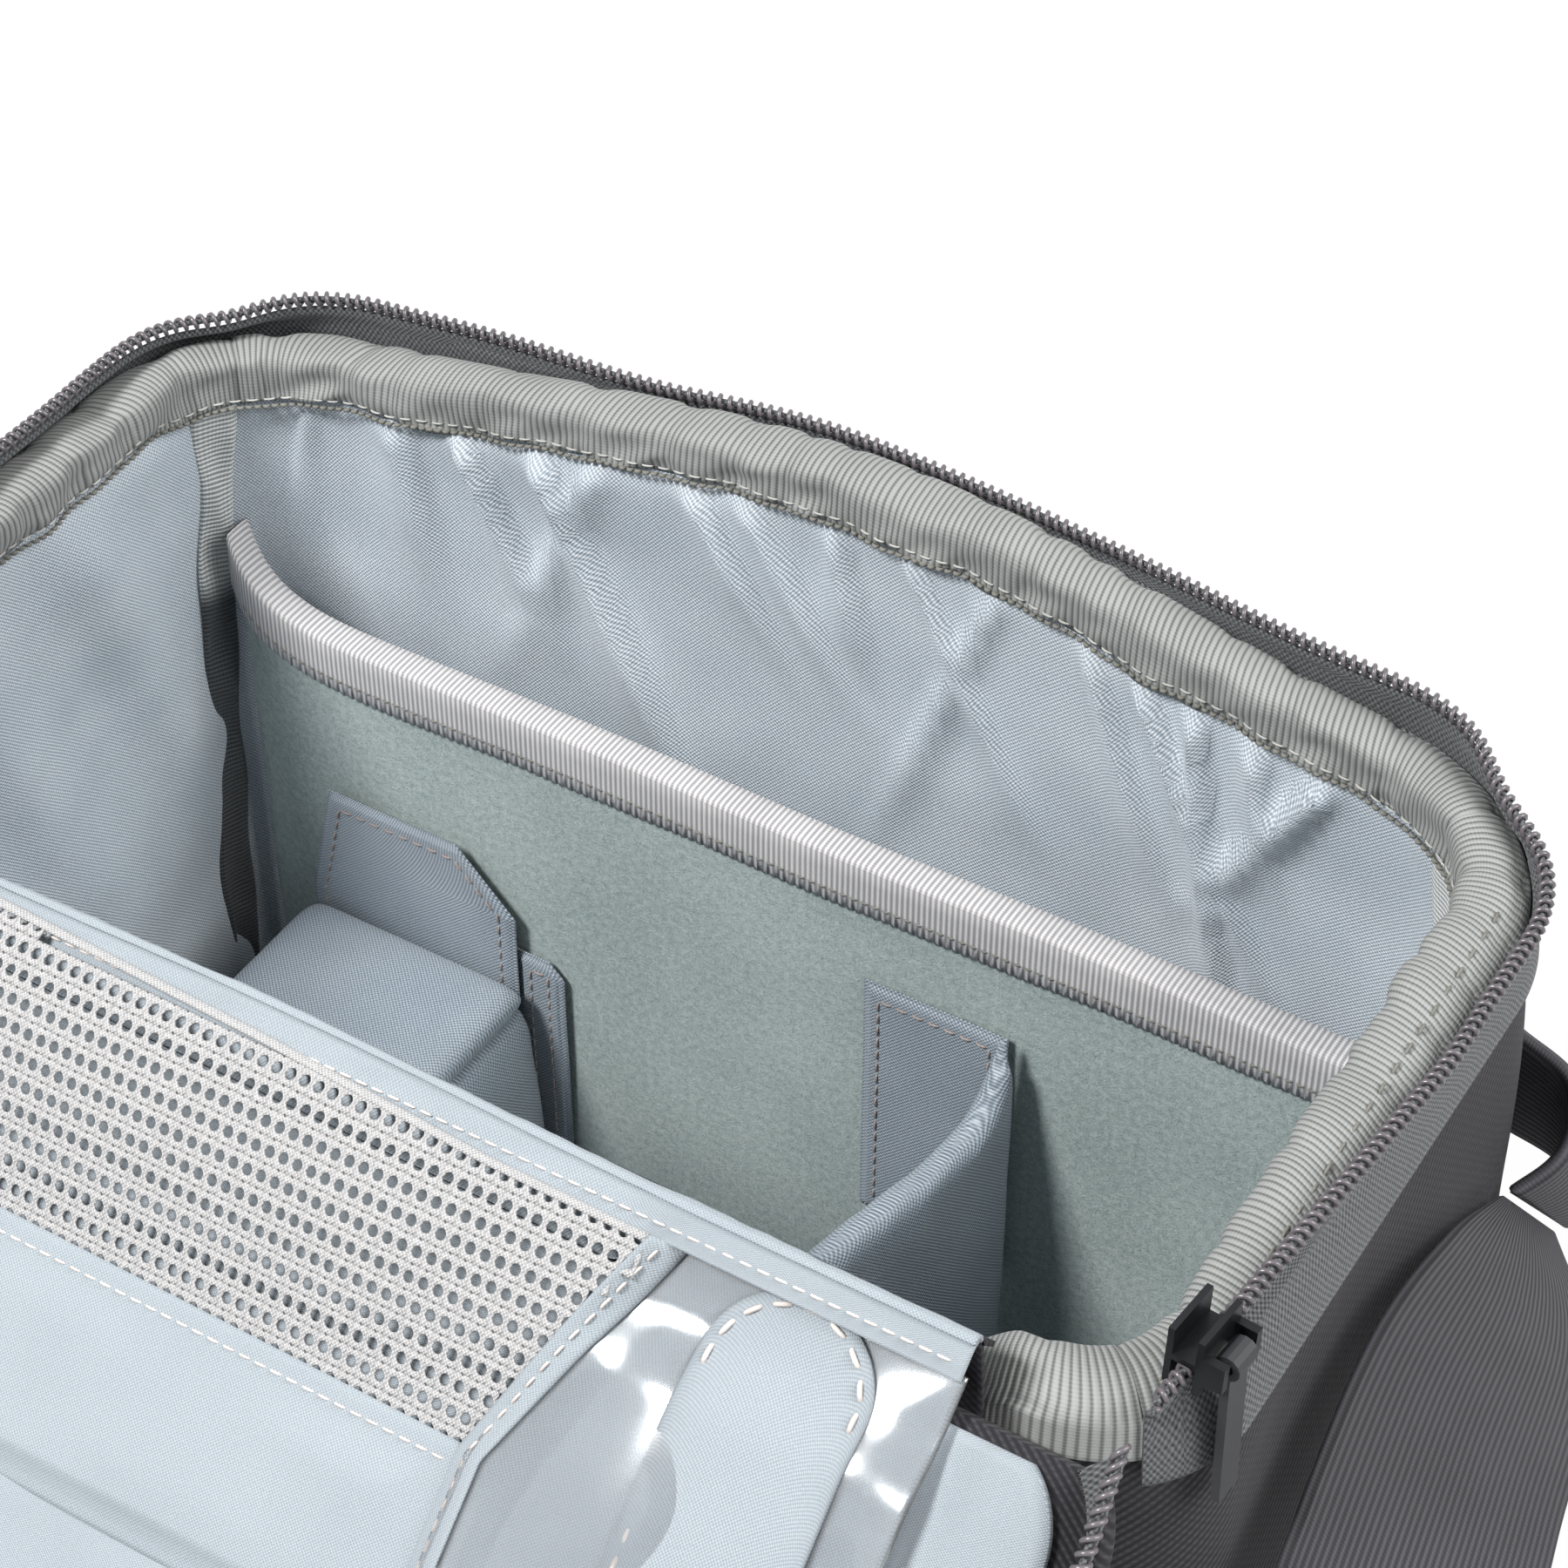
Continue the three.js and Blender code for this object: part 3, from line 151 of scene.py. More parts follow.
# %% [markdown]
# ## What every cloth shares
# Each piece carries an attribute named `cloth`: how far along and across the cloth a point lies,
# in metres. Weaves and ribs are drawn from it, so their threads follow the piece round bends
# at their real size, which a projection from outside could not do.

# %% The start and the end of every material
def hexed(text):
    linear = []
    for k in (0, 2, 4):
        c = int(text[k:k + 2], 16) / 255
        linear.append(c / 12.92 if c <= 0.04045 else ((c + 0.055) / 1.055) ** 2.4)
    return tuple(linear)


def start(name, **shader):
    material = bpy.data.materials.new(name)
    material.use_nodes = True
    tree = material.node_tree
    principled = tree.nodes["Principled BSDF"]
    for key, value in shader.items():
        principled.inputs[key.replace("_", " ")].default_value = value
    wire = Wire(tree, None)
    place = wire.node("ShaderNodeAttribute", out=1, settings={"attribute_name": "cloth"})
    split = wire.node("ShaderNodeSeparateXYZ", Vector=place).socket.node
    along, across = [Wire(tree, split.outputs[k]) for k in (0, 1)]
    return material, wire, along, across, place


def finish_material(material, wire, colour, rough, height, depth):
    tree = material.node_tree
    principled = tree.nodes["Principled BSDF"]
    tree.links.new(colour.socket, principled.inputs["Base Color"])
    if isinstance(rough, Wire):
        tree.links.new(rough.socket, principled.inputs["Roughness"])
    else:
        principled.inputs["Roughness"].default_value = rough
    bump = wire.node("ShaderNodeBump", Height=height, Distance=depth, Strength=1.0)
    tree.links.new(bump.socket, principled.inputs["Normal"])
    return material


def noise(wire, place, scale, detail=2.0, rough=0.5):
    return wire.node("ShaderNodeTexNoise", settings={"noise_dimensions": "3D"}, Vector=place,
                     Scale=scale, Detail=detail, Roughness=rough)


# %% [markdown]
# ## The cloths
# The outside is a charcoal twill: its threads cross in steps, which reads as fine diagonal
# lines. The lining and dividers are coated nylon in a plain weave, smoother, so light runs
# along their folds. The rim and pocket edges are grosgrain tape with ribs across its length.
# The pocket is brushed loop cloth: no threads show, only a soft mottled pile. A weave is drawn
# as a product of two waves, one for each set of threads, which lift and smooth the thread's
# crown and paint it lighter than the gaps: painted highlight and painted shade.

# %% Woven cloths
def woven(name, dark, light, pitch, rough, sheen, mottle=0.12, twill=False, relief=0.00008,
          specular=0.35):
    material, wire, along, across, place = start(
        name, Sheen_Weight=sheen, Sheen_Roughness=0.4, Specular_IOR_Level=specular)
    a, b = along * (2 * math.pi / pitch), across * (2 * math.pi / pitch)
    if twill:
        rise = ((a + b) * 0.5).sine() * 0.5 + 0.5
        cross = ((a - b) * 0.5).sine() * 0.18 + 0.82
        height = rise * cross
    else:
        height = (a.sine() * b.sine()) * 0.5 + 0.5
    broad = noise(wire, place, 35, 3)
    fine = noise(wire, place, 2600, 1)
    # The thread crowns are painted lighter and the gaps darker: painted highlight and painted shade.
    # The noises are the cloth's own mottle.
    tone = (height * 0.75 + fine * 0.5 - 0.25) + (broad - 0.5) * mottle * 4
    colour = tone.between(0.0, 0.95).blend(dark, light)
    level = height * -0.08 + (broad * 0.1 + (rough - 0.02))
    return finish_material(material, wire, colour, level, height + fine * 0.3, relief)


twill_cloth = woven("charcoal_twill", hexed("28272b"), hexed("47464a"), 0.0009, 0.85, 0.03,
                    twill=True, relief=0.00012, specular=0.22)
lining_cloth = woven("lining_nylon", hexed("919ea9"), hexed("f2f6fa"), 0.00085, 0.42, 0.12, 0.08,
                     relief=0.00014)
divider_cloth = woven("divider_nylon", hexed("67737f"), hexed("c3cbd1"), 0.00085, 0.42, 0.15, 0.08,
                      relief=0.00014)
lid_cloth = woven("lid_nylon", hexed("8d969d"), hexed("b1b8bd"), 0.0006, 0.6, 0.1, 0.08)

# %% [markdown]
# ## Tapes, pile, knits and hard finishes
# Webbing and grosgrain are ribs of one wave with fine threads across them. The pile of the loop
# cloth is three sizes of noise. The zip tape and the net are knitted: rows of small loops with
# specks between them, and the net's thread has a pin hole between each two large holes.

# %% Ribbed, piled, knitted and smooth finishes
NET_PITCH = 0.00246, 0.00372
PIN_EDGE = 0.00022, 0.00012


def ribbed(name, dark, light, pitch, rough=0.7, depth=0.00012, lengthwise=False, sheen=0.15,
           below=None, full=1.0):
    material, wire, along, across, place = start(
        name, Sheen_Weight=sheen, Sheen_Roughness=0.4, Specular_IOR_Level=0.35)
    run = across if lengthwise else along
    other = along if lengthwise else across
    wander = noise(wire, place, 90, 2) * 0.6
    rib = (run * (2 * math.pi / pitch) + wander).sine() * 0.5 + 0.5
    thread = (other * (2 * math.pi / 0.0006)).sine() * 0.5 + 0.5
    broad = noise(wire, place, 60, 3)
    # Rib crowns and thread crowns are painted lighter and the grooves darker: painted highlight and
    # painted shade. The broad noise is the tape's own mottle.
    tone = (rib.between(-0.1, full) * 0.7 + thread * 0.2 + (broad - 0.5) * 0.4).between(0.0, 0.95)
    colour = tone.blend(dark, light)
    # Below a given length along the tape its colour turns darker: painted shade.
    if below:
        high, low, darker, lighter = below
        colour = across.between(low, high).blend(tone.blend(darker, lighter), colour)
    return finish_material(material, wire, colour, rib * -0.08 + rough, rib + thread * 0.15, depth)


def piled(name, dark, light):
    material, wire, *_, place = start(
        name, Sheen_Weight=0.35, Sheen_Roughness=0.6, Specular_IOR_Level=0.15)
    broad = noise(wire, place, 28, 3)
    clump = noise(wire, place, 700, 4, 0.65)
    fibre = noise(wire, place, 2200, 3, 0.75)
    tone = broad * 0.2 + clump * 0.45 + fibre * 0.55
    colour = tone.between(0.4, 0.8).blend(dark, light)
    return finish_material(material, wire, colour, 0.95, clump * 0.6 + fibre, 0.0003)


def knitted(name, dark, light, pitch=0.0011, pins=False):
    material, wire, along, across, place = start(name, Sheen_Weight=0.15, Specular_IOR_Level=0.25)
    a, b = along * (2 * math.pi / pitch), across * (2 * math.pi / (pitch * 1.3))
    loops = (a.sine() * b.sine()) * 0.5 + 0.5
    speck = noise(wire, place, 1400, 2, 0.6)
    # The loops are painted lighter than the gaps between them: painted highlight and painted shade. The
    # specks are the knit's own.
    tone = loops * 0.6 + speck * 0.6 - 0.1
    colour = tone.between(0.1, 0.95).blend(dark, light)
    height = loops + speck * 0.5
    if pins:
        # The pin holes are not cut: each is painted dark grey, painted shade of the hole, and sunk in
        # the bump.
        away = (along * along + (across.math("ABSOLUTE", across) - NET_PITCH[1] / 2) ** 2) ** 0.5
        pin = away.between(*PIN_EDGE)
        colour = pin.blend(colour, hexed("6c6b6d"))
        height = height - pin * 2
    return finish_material(material, wire, colour, 0.85, height, 0.0002)


def smooth(name, colour, rough, metallic=0.0, grain=1200, depth=0.00002, vary=0.12, **shader):
    material, wire, *_ = start(name, Metallic=metallic, **shader)
    texture = wire.node("ShaderNodeTexCoord", out=3)
    soft = noise(wire, texture, 60, 3)
    fine = noise(wire, texture, grain, 2)
    low = tuple(c * (1 - vary) for c in colour)
    high = tuple(min(c * (1 + vary), 1) for c in colour)
    tint = soft.between(0.3, 0.7).blend(low, high)
    return finish_material(material, wire, tint, soft * 0.12 + (rough - 0.06), fine, depth)


rim_grosgrain = ribbed("rim_grosgrain", hexed("5e605e"), hexed("9d9f9d"), 0.00125, depth=0.00016,
                       full=0.6)
# The corner tape's colour is painted darker below about 19 cm up, behind the pocket's rim: painted
# shade.
tape_grosgrain = ribbed("corner_grosgrain", hexed("8b8f90"), hexed("dfe1de"), 0.00105, depth=0.0002,
                        lengthwise=True, below=(0.176, 0.168, hexed("2c2f31"), hexed("55585a")))
pocket_grosgrain = ribbed("pocket_grosgrain", hexed("929094"), hexed("dad8d6"), 0.00115, depth=0.00018)
webbing = ribbed("charcoal_webbing", hexed("252428"), hexed("48474c"), 0.0012, 0.7, 0.00018,
                 lengthwise=True, sheen=0.04)
webbing_across = ribbed("anchor_webbing", hexed("252428"), hexed("48474c"), 0.0012, 0.7, 0.00018,
                        sheen=0.04)
pad_cloth = woven("pad_cloth", hexed("242428"), hexed("3d3d42"), 0.0012, 0.88, 0.03, twill=True,
                  relief=0.00015, specular=0.22)
loop_pile = piled("brushed_loop", hexed("738583"), hexed("b9c6c3"))
zip_knit = knitted("zip_tape_knit", hexed("2a2d2f"), hexed("77797b"))
net_thread = knitted("net_thread", hexed("9d9c9d"), hexed("d6d5d4"), 0.0006, pins=True)
coil_nylon = smooth("coil_nylon", hexed("5d585c"), 0.3, Coat_Weight=0.3, Coat_Roughness=0.2)
dark_metal = smooth("painted_metal", hexed("2b2c2f"), 0.34, 0.75, 900, 0.00002)
satin_plastic = smooth("satin_plastic", hexed("232427"), 0.42, 0, 700, 0.00003)
rubbery_pull = smooth("moulded_pull", hexed("2a2b2e"), 0.55, 0, 1500, 0.00004)
grey_thread, beige_thread, edge_thread, binding_thread, dark_thread = [
    smooth(name, hexed(colour), 0.7, 0, 2500, 0.00005)
    for name, colour in (("stitching_thread", "978b85"), ("beige_thread", "d8cfc9"),
                         ("edge_thread", "77766f"), ("binding_thread", "b3b3ae"),
                         ("dark_thread", "4a4a4e"))]
clear_sheet = smooth("clear_sheet", hexed("f2f5f7"), 0.12, 0, 40, 0.0001, 0.03,
                     Transmission_Weight=0.95, IOR=1.45, Coat_Weight=1.0, Coat_Roughness=0.1)
print("materials:", len(bpy.data.materials))

# %% [markdown]
# ## The shape of the shell
# The bag is a rounded box, and nearly every piece follows it at some distance, inside or out.
# So the shell is written once, as a function from a side, a share of the way along it, a
# distance outwards and a height. The pieces then only say how far out they lie.

# %% The shell as a function
HALF_LENGTH, FRONT_REACH, REAR_REACH = 137 * MM, 79 * MM, 71 * MM
RIM, ARCH, BOW, WALL, CORNER = 238.5 * MM, 8 * MM, 11 * MM, 8 * MM, 0.2
FRONT_BEND, REAR_BEND, INNER_FRONT_BEND, INNER_REAR_BEND = 20, 36, 14, 26
FRONT_SAG, INNER_FULLNESS = 10.5 * MM, 0.7
FULLNESS = {"left": 8 * MM, "rear": 6 * MM, "right": 8 * MM, "front": 3 * MM}
LEAN = {"left": 2 * MM, "rear": 0, "right": 2 * MM, "front": 2 * MM}
SIDES = ("left", "rear", "right", "front")
QUARTER = math.pi / 4


def by_side(nx, ny, values):
    return (np.maximum(nx, 0) ** 2 * values["right"] + np.maximum(-nx, 0) ** 2 * values["left"]
            + np.maximum(ny, 0) ** 2 * values["rear"] + np.maximum(-ny, 0) ** 2 * values["front"])


def middleness(share):
    corner, straight = REAR_BEND * MM * QUARTER, 2 * HALF_LENGTH - 2 * REAR_BEND * MM
    end = np.minimum(share, 1 - share)
    on_bend = corner * end / CORNER
    on_straight = corner + straight * (end - CORNER) / (1 - 2 * CORNER)
    distance = np.where(end < CORNER, on_bend, on_straight)
    return np.sin(math.pi * distance / (2 * corner + straight)) ** 2


def wall_top(side, share):
    if side == "rear":
        return RIM + ARCH * middleness(share)
    sag = 0 * share
    if side == "front":
        sag = np.clip((np.minimum(share, 1 - share) - CORNER) / 0.04, 0, 1)
    return RIM - FRONT_SAG * sag * sag * (3 - 2 * sag)


def shell(side, share, outset, z):
    share, outset, z = np.broadcast_arrays(*[np.asarray(v, float) for v in (share, outset, z)])
    inset = -outset
    half, front, rear = HALF_LENGTH - inset, -FRONT_REACH + inset, REAR_REACH - inset
    drop, swell = np.maximum(inset, 0) / WALL, np.maximum(-inset, 0)
    front_radius = (FRONT_BEND + (INNER_FRONT_BEND - FRONT_BEND) * drop) * MM + swell
    rear_radius = (REAR_BEND + (INNER_REAR_BEND - REAR_BEND) * drop) * MM + swell
    fx, fy, run, out, length, first, last = {
        "left": (-half, front, (0, 1), (-1, 0), rear - front, front_radius, rear_radius),
        "rear": (-half, rear, (1, 0), (0, 1), 2 * half, rear_radius, rear_radius),
        "right": (half, rear, (0, -1), (1, 0), rear - front, rear_radius, front_radius),
        "front": (half, front, (-1, 0), (0, -1), 2 * half, front_radius, front_radius),
    }[side]
    before = np.minimum(share / CORNER - 1, 0) * QUARTER
    after = np.maximum(1 - (1 - share) / CORNER, 0) * QUARTER
    angle = before + after
    radius = np.where(before < 0, first, last)
    middle = np.clip((share - CORNER) / (1 - 2 * CORNER), 0, 1)
    along = first + (length - last - first) * middle + radius * np.sin(angle)
    off = radius * (np.cos(angle) - 1)
    nx, ny = [run[k] * np.sin(angle) + out[k] * np.cos(angle) for k in (0, 1)]
    level = np.clip(z / wall_top(side, share), 0, 1)
    bow = BOW * middleness(share) * level if side == "rear" else 0
    outer = 1 - (1 - INNER_FULLNESS) * np.clip(inset / WALL, 0, 1)
    bulge = by_side(nx, ny, FULLNESS) * outer * np.sin(math.pi * level) ** 0.6
    push = bow + bulge - by_side(nx, ny, LEAN) * (1 - level) ** 2
    x = fx + run[0] * along + out[0] * off + nx * push
    y = fy + run[1] * along + out[1] * off + ny * push
    return np.stack([x, y, z], -1), np.stack([nx, ny, 0 * nx], -1)


print("rim corner at", shell("rear", 0.0, 0, RIM)[0].round(4))

# %% [markdown]
# ## Floor and sky
# The picture stands on plain white. The floor is a large disc that still takes the bag's
# shadow: what the camera sees of it is mostly glow, with some shaded white in it. The sky is
# white to the camera and in reflections, and gives the bag itself a dimmer, even light.

# %% Floor and sky
CAMERA_RAY, GLOSSY_RAY, TRANSMISSION_RAY = 0, 3, 6


def seen_ray(wire):
    eye, mirrored, through = [wire.node("ShaderNodeLightPath", out=k)
                              for k in (CAMERA_RAY, GLOSSY_RAY, TRANSMISSION_RAY)]
    return eye.math("MAXIMUM", eye, mirrored.math("MAXIMUM", mirrored, through))


floor_white = bpy.data.materials.new("floor_white")
floor_white.use_nodes = True
floor_tree = floor_white.node_tree
floor_wire = Wire(floor_tree, None)
shaded_white = floor_tree.nodes["Principled BSDF"]
shaded_white.inputs["Base Color"].default_value = (0.86, 0.86, 0.86, 1)
shaded_white.inputs["Roughness"].default_value = 0.9
glow = floor_wire.node("ShaderNodeEmission", Color=(1, 1, 1, 1), Strength=1.06)
share = seen_ray(floor_wire) * 0.8
shown = floor_wire.node("ShaderNodeMixShader", i0=share)
floor_tree.links.new(shaded_white.outputs[0], shown.socket.node.inputs[1])
floor_tree.links.new(glow.socket, shown.socket.node.inputs[2])
floor_tree.links.new(shown.socket, floor_tree.nodes["Material Output"].inputs[0])

floor_mesh = bpy.data.meshes.new("studio_floor")
edge = [(6 * math.cos(k * math.pi / 48), 6 * math.sin(k * math.pi / 48), -0.0004) for k in range(96)]
floor_mesh.from_pydata(edge, [], [list(range(96))])
floor_mesh.materials.append(floor_white)
floor = bpy.data.objects.new("studio_floor", floor_mesh)
bpy.context.scene.collection.objects.link(floor)

world = bpy.data.worlds.new("soft_sky")
bpy.context.scene.world = world
world.use_nodes = True
sky_wire = Wire(world.node_tree, None)
sky_level = seen_ray(sky_wire) * 0.75 + 0.25
background = world.node_tree.nodes["Background"]
background.inputs["Color"].default_value = (1, 1, 1, 1)
world.node_tree.links.new(sky_level.socket, background.inputs["Strength"])
print("floor and sky ready")

# %% [markdown]
# ## From numbers to a mesh
# Every piece below is a grid of places worked out at once with numpy, which is much quicker
# than adding points one by one. `mesh_piece` turns such a grid into a mesh, makes it face
# outwards by the sign of its volume, stores the cloth's own coordinates and sets it on the
# body it moves with. `quilt` is a sheet with a thickness whose edges close like a pillow's,
# `band` carries a section along a line, and `dome` stacks rings over a rounded outline.

# %% One mesh from arrays
MADE = []


def store_cloth(mesh, values):
    attribute = mesh.attributes.new("cloth", "FLOAT_VECTOR", "POINT")
    attribute.data.foreach_set("vector", np.asarray(values, np.float32).ravel())


def mesh_piece(name, points, quads, cloth, material, body, slot=None, replaces=(), caps=()):
    points = np.asarray(points, float)
    quads = np.asarray(quads, np.int64)
    a, b, c, d = [points[quads[:, k]] for k in range(4)]
    volume = np.einsum("ij,ij->", a, np.cross(b, c)) + np.einsum("ij,ij->", a, np.cross(c, d))
    if volume < 0:
        quads = quads[:, ::-1]
        caps = [list(cap)[::-1] for cap in caps]
    loops = np.concatenate([quads.ravel()] + [np.asarray(cap) for cap in caps]).astype(np.int32)
    totals = np.concatenate([np.full(len(quads), 4), [len(cap) for cap in caps]]).astype(np.int32)
    mesh = bpy.data.meshes.new(name)
    mesh.vertices.add(len(points))
    mesh.vertices.foreach_set("co", points.astype(np.float32).ravel())
    mesh.loops.add(len(loops))
    mesh.loops.foreach_set("vertex_index", loops)
    mesh.polygons.add(len(totals))
    starts = np.concatenate([[0], np.cumsum(totals)[:-1]]).astype(np.int32)
    mesh.polygons.foreach_set("loop_start", starts)
    mesh.update(calc_edges=True)
    mesh.validate()
    store_cloth(mesh, cloth)
    mesh.materials.append(material)
    mesh.shade_smooth()
    piece = bpy.data.objects.new(name, mesh)
    bpy.context.scene.collection.objects.link(piece)
    place_piece(piece, body, slot, replaces)
    return piece


def place_piece(piece, body, slot, replaces):
    if body:
        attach(piece, body)
    if replaces:
        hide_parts(*replaces)
    MADE.append(piece.name)


# %% Small sums used everywhere
def mixed(low, high, share):
    return low + (high - low) * share


def spot(x, y, z):
    return np.stack(np.broadcast_arrays(x, y, z), -1).astype(float) * MM


def smoothstep(low, high, value):
    share = np.clip((value - low) / (high - low), 0, 1)
    return share * share * (3 - 2 * share)


def lengths(points, axis):
    step = np.linalg.norm(np.diff(points, axis=axis), axis=-1).mean(axis=1 - axis)
    return np.concatenate([[0], np.cumsum(step)])


def wandering(seed, low, high, count=7):
    draw = np.random.default_rng(seed)
    parts = []
    for _ in range(count):
        way = draw.normal(size=3)
        way /= np.linalg.norm(way)
        parts.append((way * 2 * math.pi / draw.uniform(low, high), draw.uniform(0, 6.28)))

    def at(points):
        total = sum(np.sin(points @ way + phase) for way, phase in parts)
        return total / math.sqrt(count)

    return at


# %% A sheet with a thickness
def grid_quads(rows, columns, first=0):
    j, i = np.mgrid[0:rows, 0:columns]
    a = first + j * (columns + 1) + i
    return np.stack([a, a + 1, a + columns + 2, a + columns + 1], -1).reshape(-1, 4)


def quilt(name, place, columns, rows, material, body, soft=0.0, relief=None, through=0.0,
          **rest):
    v, u = np.mgrid[0:rows + 1, 0:columns + 1].astype(float)
    u, v = u / columns, v / rows
    face, back = place(u, v, 0.0), place(u, v, 1.0)
    middle, half = (face + back) / 2, (face - back) / 2
    s = np.broadcast_to(lengths(face, 1)[None, :], u.shape)
    t = np.broadcast_to(lengths(face, 0)[:, None], u.shape)
    edge = np.minimum(np.minimum(s, s.max() - s), np.minimum(t, t.max() - t))
    full = np.ones_like(u)
    if soft:
        near = np.clip(1 - edge / soft, 0, 1)
        full = np.sqrt(np.maximum(1 - near ** 2, 0)) * 0.94 + 0.06
    lift = relief(s, t, edge, middle) if relief else 0 * s
    normal = half / np.maximum(np.linalg.norm(half, axis=-1, keepdims=True), 1e-9)
    face = middle + half * full[..., None] + normal * lift[..., None]
    back = middle - half * full[..., None] + normal * (lift * through)[..., None]
    count = (columns + 1) * (rows + 1)
    index = np.arange(count).reshape(rows + 1, columns + 1)
    rim = np.concatenate([index[0, :-1], index[:-1, -1], index[-1, :0:-1], index[:0:-1, 0]])
    after = np.roll(rim, -1)
    wall = np.stack([rim, rim + count, after + count, after], -1)
    quads = np.concatenate([grid_quads(rows, columns),
                            grid_quads(rows, columns, count)[:, ::-1], wall])
    cloth = np.tile(np.stack([s, t, 0 * s], -1).reshape(-1, 3), (2, 1))
    points = np.concatenate([face.reshape(-1, 3), back.reshape(-1, 3)])
    return mesh_piece(name, points, quads, cloth, material, body, **rest)


# %% A section carried along a line
def rows_between(levels, sides):
    k, m = np.mgrid[0:levels, 0:sides]
    beside = (m + 1) % sides
    return np.stack([k * sides + m, k * sides + beside,
                     (k + 1) * sides + beside, (k + 1) * sides + m], -1).reshape(-1, 4)


def band(name, rings, material, body, closed=False, **rest):
    rings = np.asarray(rings, float)
    stations, sides = rings.shape[:2]
    s = lengths(rings, 0)
    t = lengths(np.concatenate([rings, rings[:, :1]], 1), 1)[:-1]
    cloth = np.stack(np.broadcast_arrays(s[:, None], t[None, :], 0.0), -1).reshape(-1, 3)
    if closed:
        quads, caps = rows_between(stations, sides) % (stations * sides), []
    else:
        quads = rows_between(stations - 1, sides)
        caps = [list(range(sides))[::-1], [(stations - 1) * sides + m for m in range(sides)]]
    return mesh_piece(name, rings.reshape(-1, 3), quads, cloth, material, body, caps=caps, **rest)


def round_tube(path, radius, sides):
    path = np.asarray(path, float)
    ahead = np.gradient(path, axis=0)
    ahead /= np.linalg.norm(ahead, axis=1, keepdims=True)
    up = np.array([0.0, 0.0, 1.0])
    across = np.cross(ahead, up)
    weak = np.linalg.norm(across, axis=1) < 1e-3
    across[weak] = np.cross(ahead[weak], (0, 1.0, 0))
    across /= np.linalg.norm(across, axis=1, keepdims=True)
    lift = np.cross(across, ahead)
    angle = np.arange(sides) * 2 * math.pi / sides
    radius = np.broadcast_to(np.asarray(radius, float), path.shape[:1])[:, None, None]
    ring = (across[:, None] * np.cos(angle)[None, :, None]
            + lift[:, None] * np.sin(angle)[None, :, None])
    return path[:, None] + ring * radius


# %% A dome over a rounded outline
def dome(name, rings, material, body, **rest):
    rings = np.asarray(rings, float)
    levels, sides = rings.shape[:2]
    centres = [rings[0].mean(0), rings[-1].mean(0)]
    points = np.concatenate([rings.reshape(-1, 3), centres])
    quads = rows_between(levels - 1, sides)
    m = np.arange(sides)
    beside = (m + 1) % sides
    low, high, last = len(points) - 2, len(points) - 1, (levels - 1) * sides
    caps = [[low, b, a] for a, b in zip(m, beside)]
    caps += [[high, last + a, last + b] for a, b in zip(m, beside)]
    x, y, z = points.T
    cloth = np.stack([x, (y - y.mean()) + (z - z.mean()), 0 * x], -1)
    return mesh_piece(name, points, quads, cloth, material, body, caps=caps, **rest)


# %% [markdown]
# ## Stitches
# A seam is a row of short threads that dip into the cloth at both ends. Each is a small bent
# capsule, and all the stitches of one seam are one mesh, so that hundreds cost little.

# %% Rows of stitches
def resampled(path, step):
    path = np.asarray(path, float)
    far = np.concatenate([[0], np.cumsum(np.linalg.norm(np.diff(path, axis=0), axis=1))])
    count = max(int(far[-1] / step), 1)
    return (np.arange(count) + 0.5) * far[-1] / count, far


def along_path(at, far, values):
    return np.stack([np.interp(at, far, values[:, k]) for k in range(3)], -1)


def stitches(name, paths, outward, body, material, length, pitch, radius):
    profile = [(-1.0, 0.25, -1.0), (-0.8, 0.9, 0.1), (-0.35, 1.0, 1.0), (0.35, 1.0, 1.0),
               (0.8, 0.9, 0.1), (1.0, 0.25, -1.0)]
    points, quads, caps, cloth = [], [], [], []
    for path, out in zip(paths, outward):
        path = np.asarray(path, float)
        out = np.broadcast_to(np.asarray(out, float), path.shape)
        at, far = resampled(path, pitch)
        centre, lift = along_path(at, far, path), along_path(at, far, out)
        ahead = along_path(at + 0.0005, far, path) - along_path(at - 0.0005, far, path)
        ahead /= np.maximum(np.linalg.norm(ahead, axis=1, keepdims=True), 1e-9)
        lift /= np.maximum(np.linalg.norm(lift, axis=1, keepdims=True), 1e-9)
        side = np.cross(ahead, lift)
        for c, f, n, w in zip(centre, ahead, lift, side):
            first = len(points)
            for along, thick, rise in profile:
                middle = c + f * along * length / 2 + n * rise * radius * 0.7
                for k in range(6):
                    turn = k * math.pi / 3
                    points.append(middle + (w * math.cos(turn) + n * math.sin(turn)) * radius * thick)
                    cloth.append((along * length, 0.001 * k, 0))
            rows = len(profile)
            for j in range(rows - 1):
                for k in range(6):
                    a, b = first + j * 6 + k, first + j * 6 + (k + 1) % 6
                    quads.append((a, b, b + 6, a + 6))
            caps.append([first + k for k in range(6)][::-1])
            caps.append([first + (rows - 1) * 6 + k for k in range(6)])
    return mesh_piece(name, points, quads, cloth, material, body, caps=caps)


print("helpers ready")

# %% [markdown]
# ## Base and padded walls
# The outside is charcoal cloth over foam, sewn into a box with rounded corners. One closed band
# runs all the way round for the walls: foam makes them bulge between the base and the rim, and
# the cloth over it ripples a little, most near the seams, where sewing draws it in.

# %% Base
PER_SIDE = 70
WALL_FOOT = 9.3 * MM
INSIDE = 9.6 * MM
FLOOR_TOP = 14.3 * MM


def ring_at(outset, z, per_side=PER_SIDE):
    shares = np.arange(per_side) / per_side
    return np.concatenate([shell(side, shares, outset, z)[0] for side in SIDES])


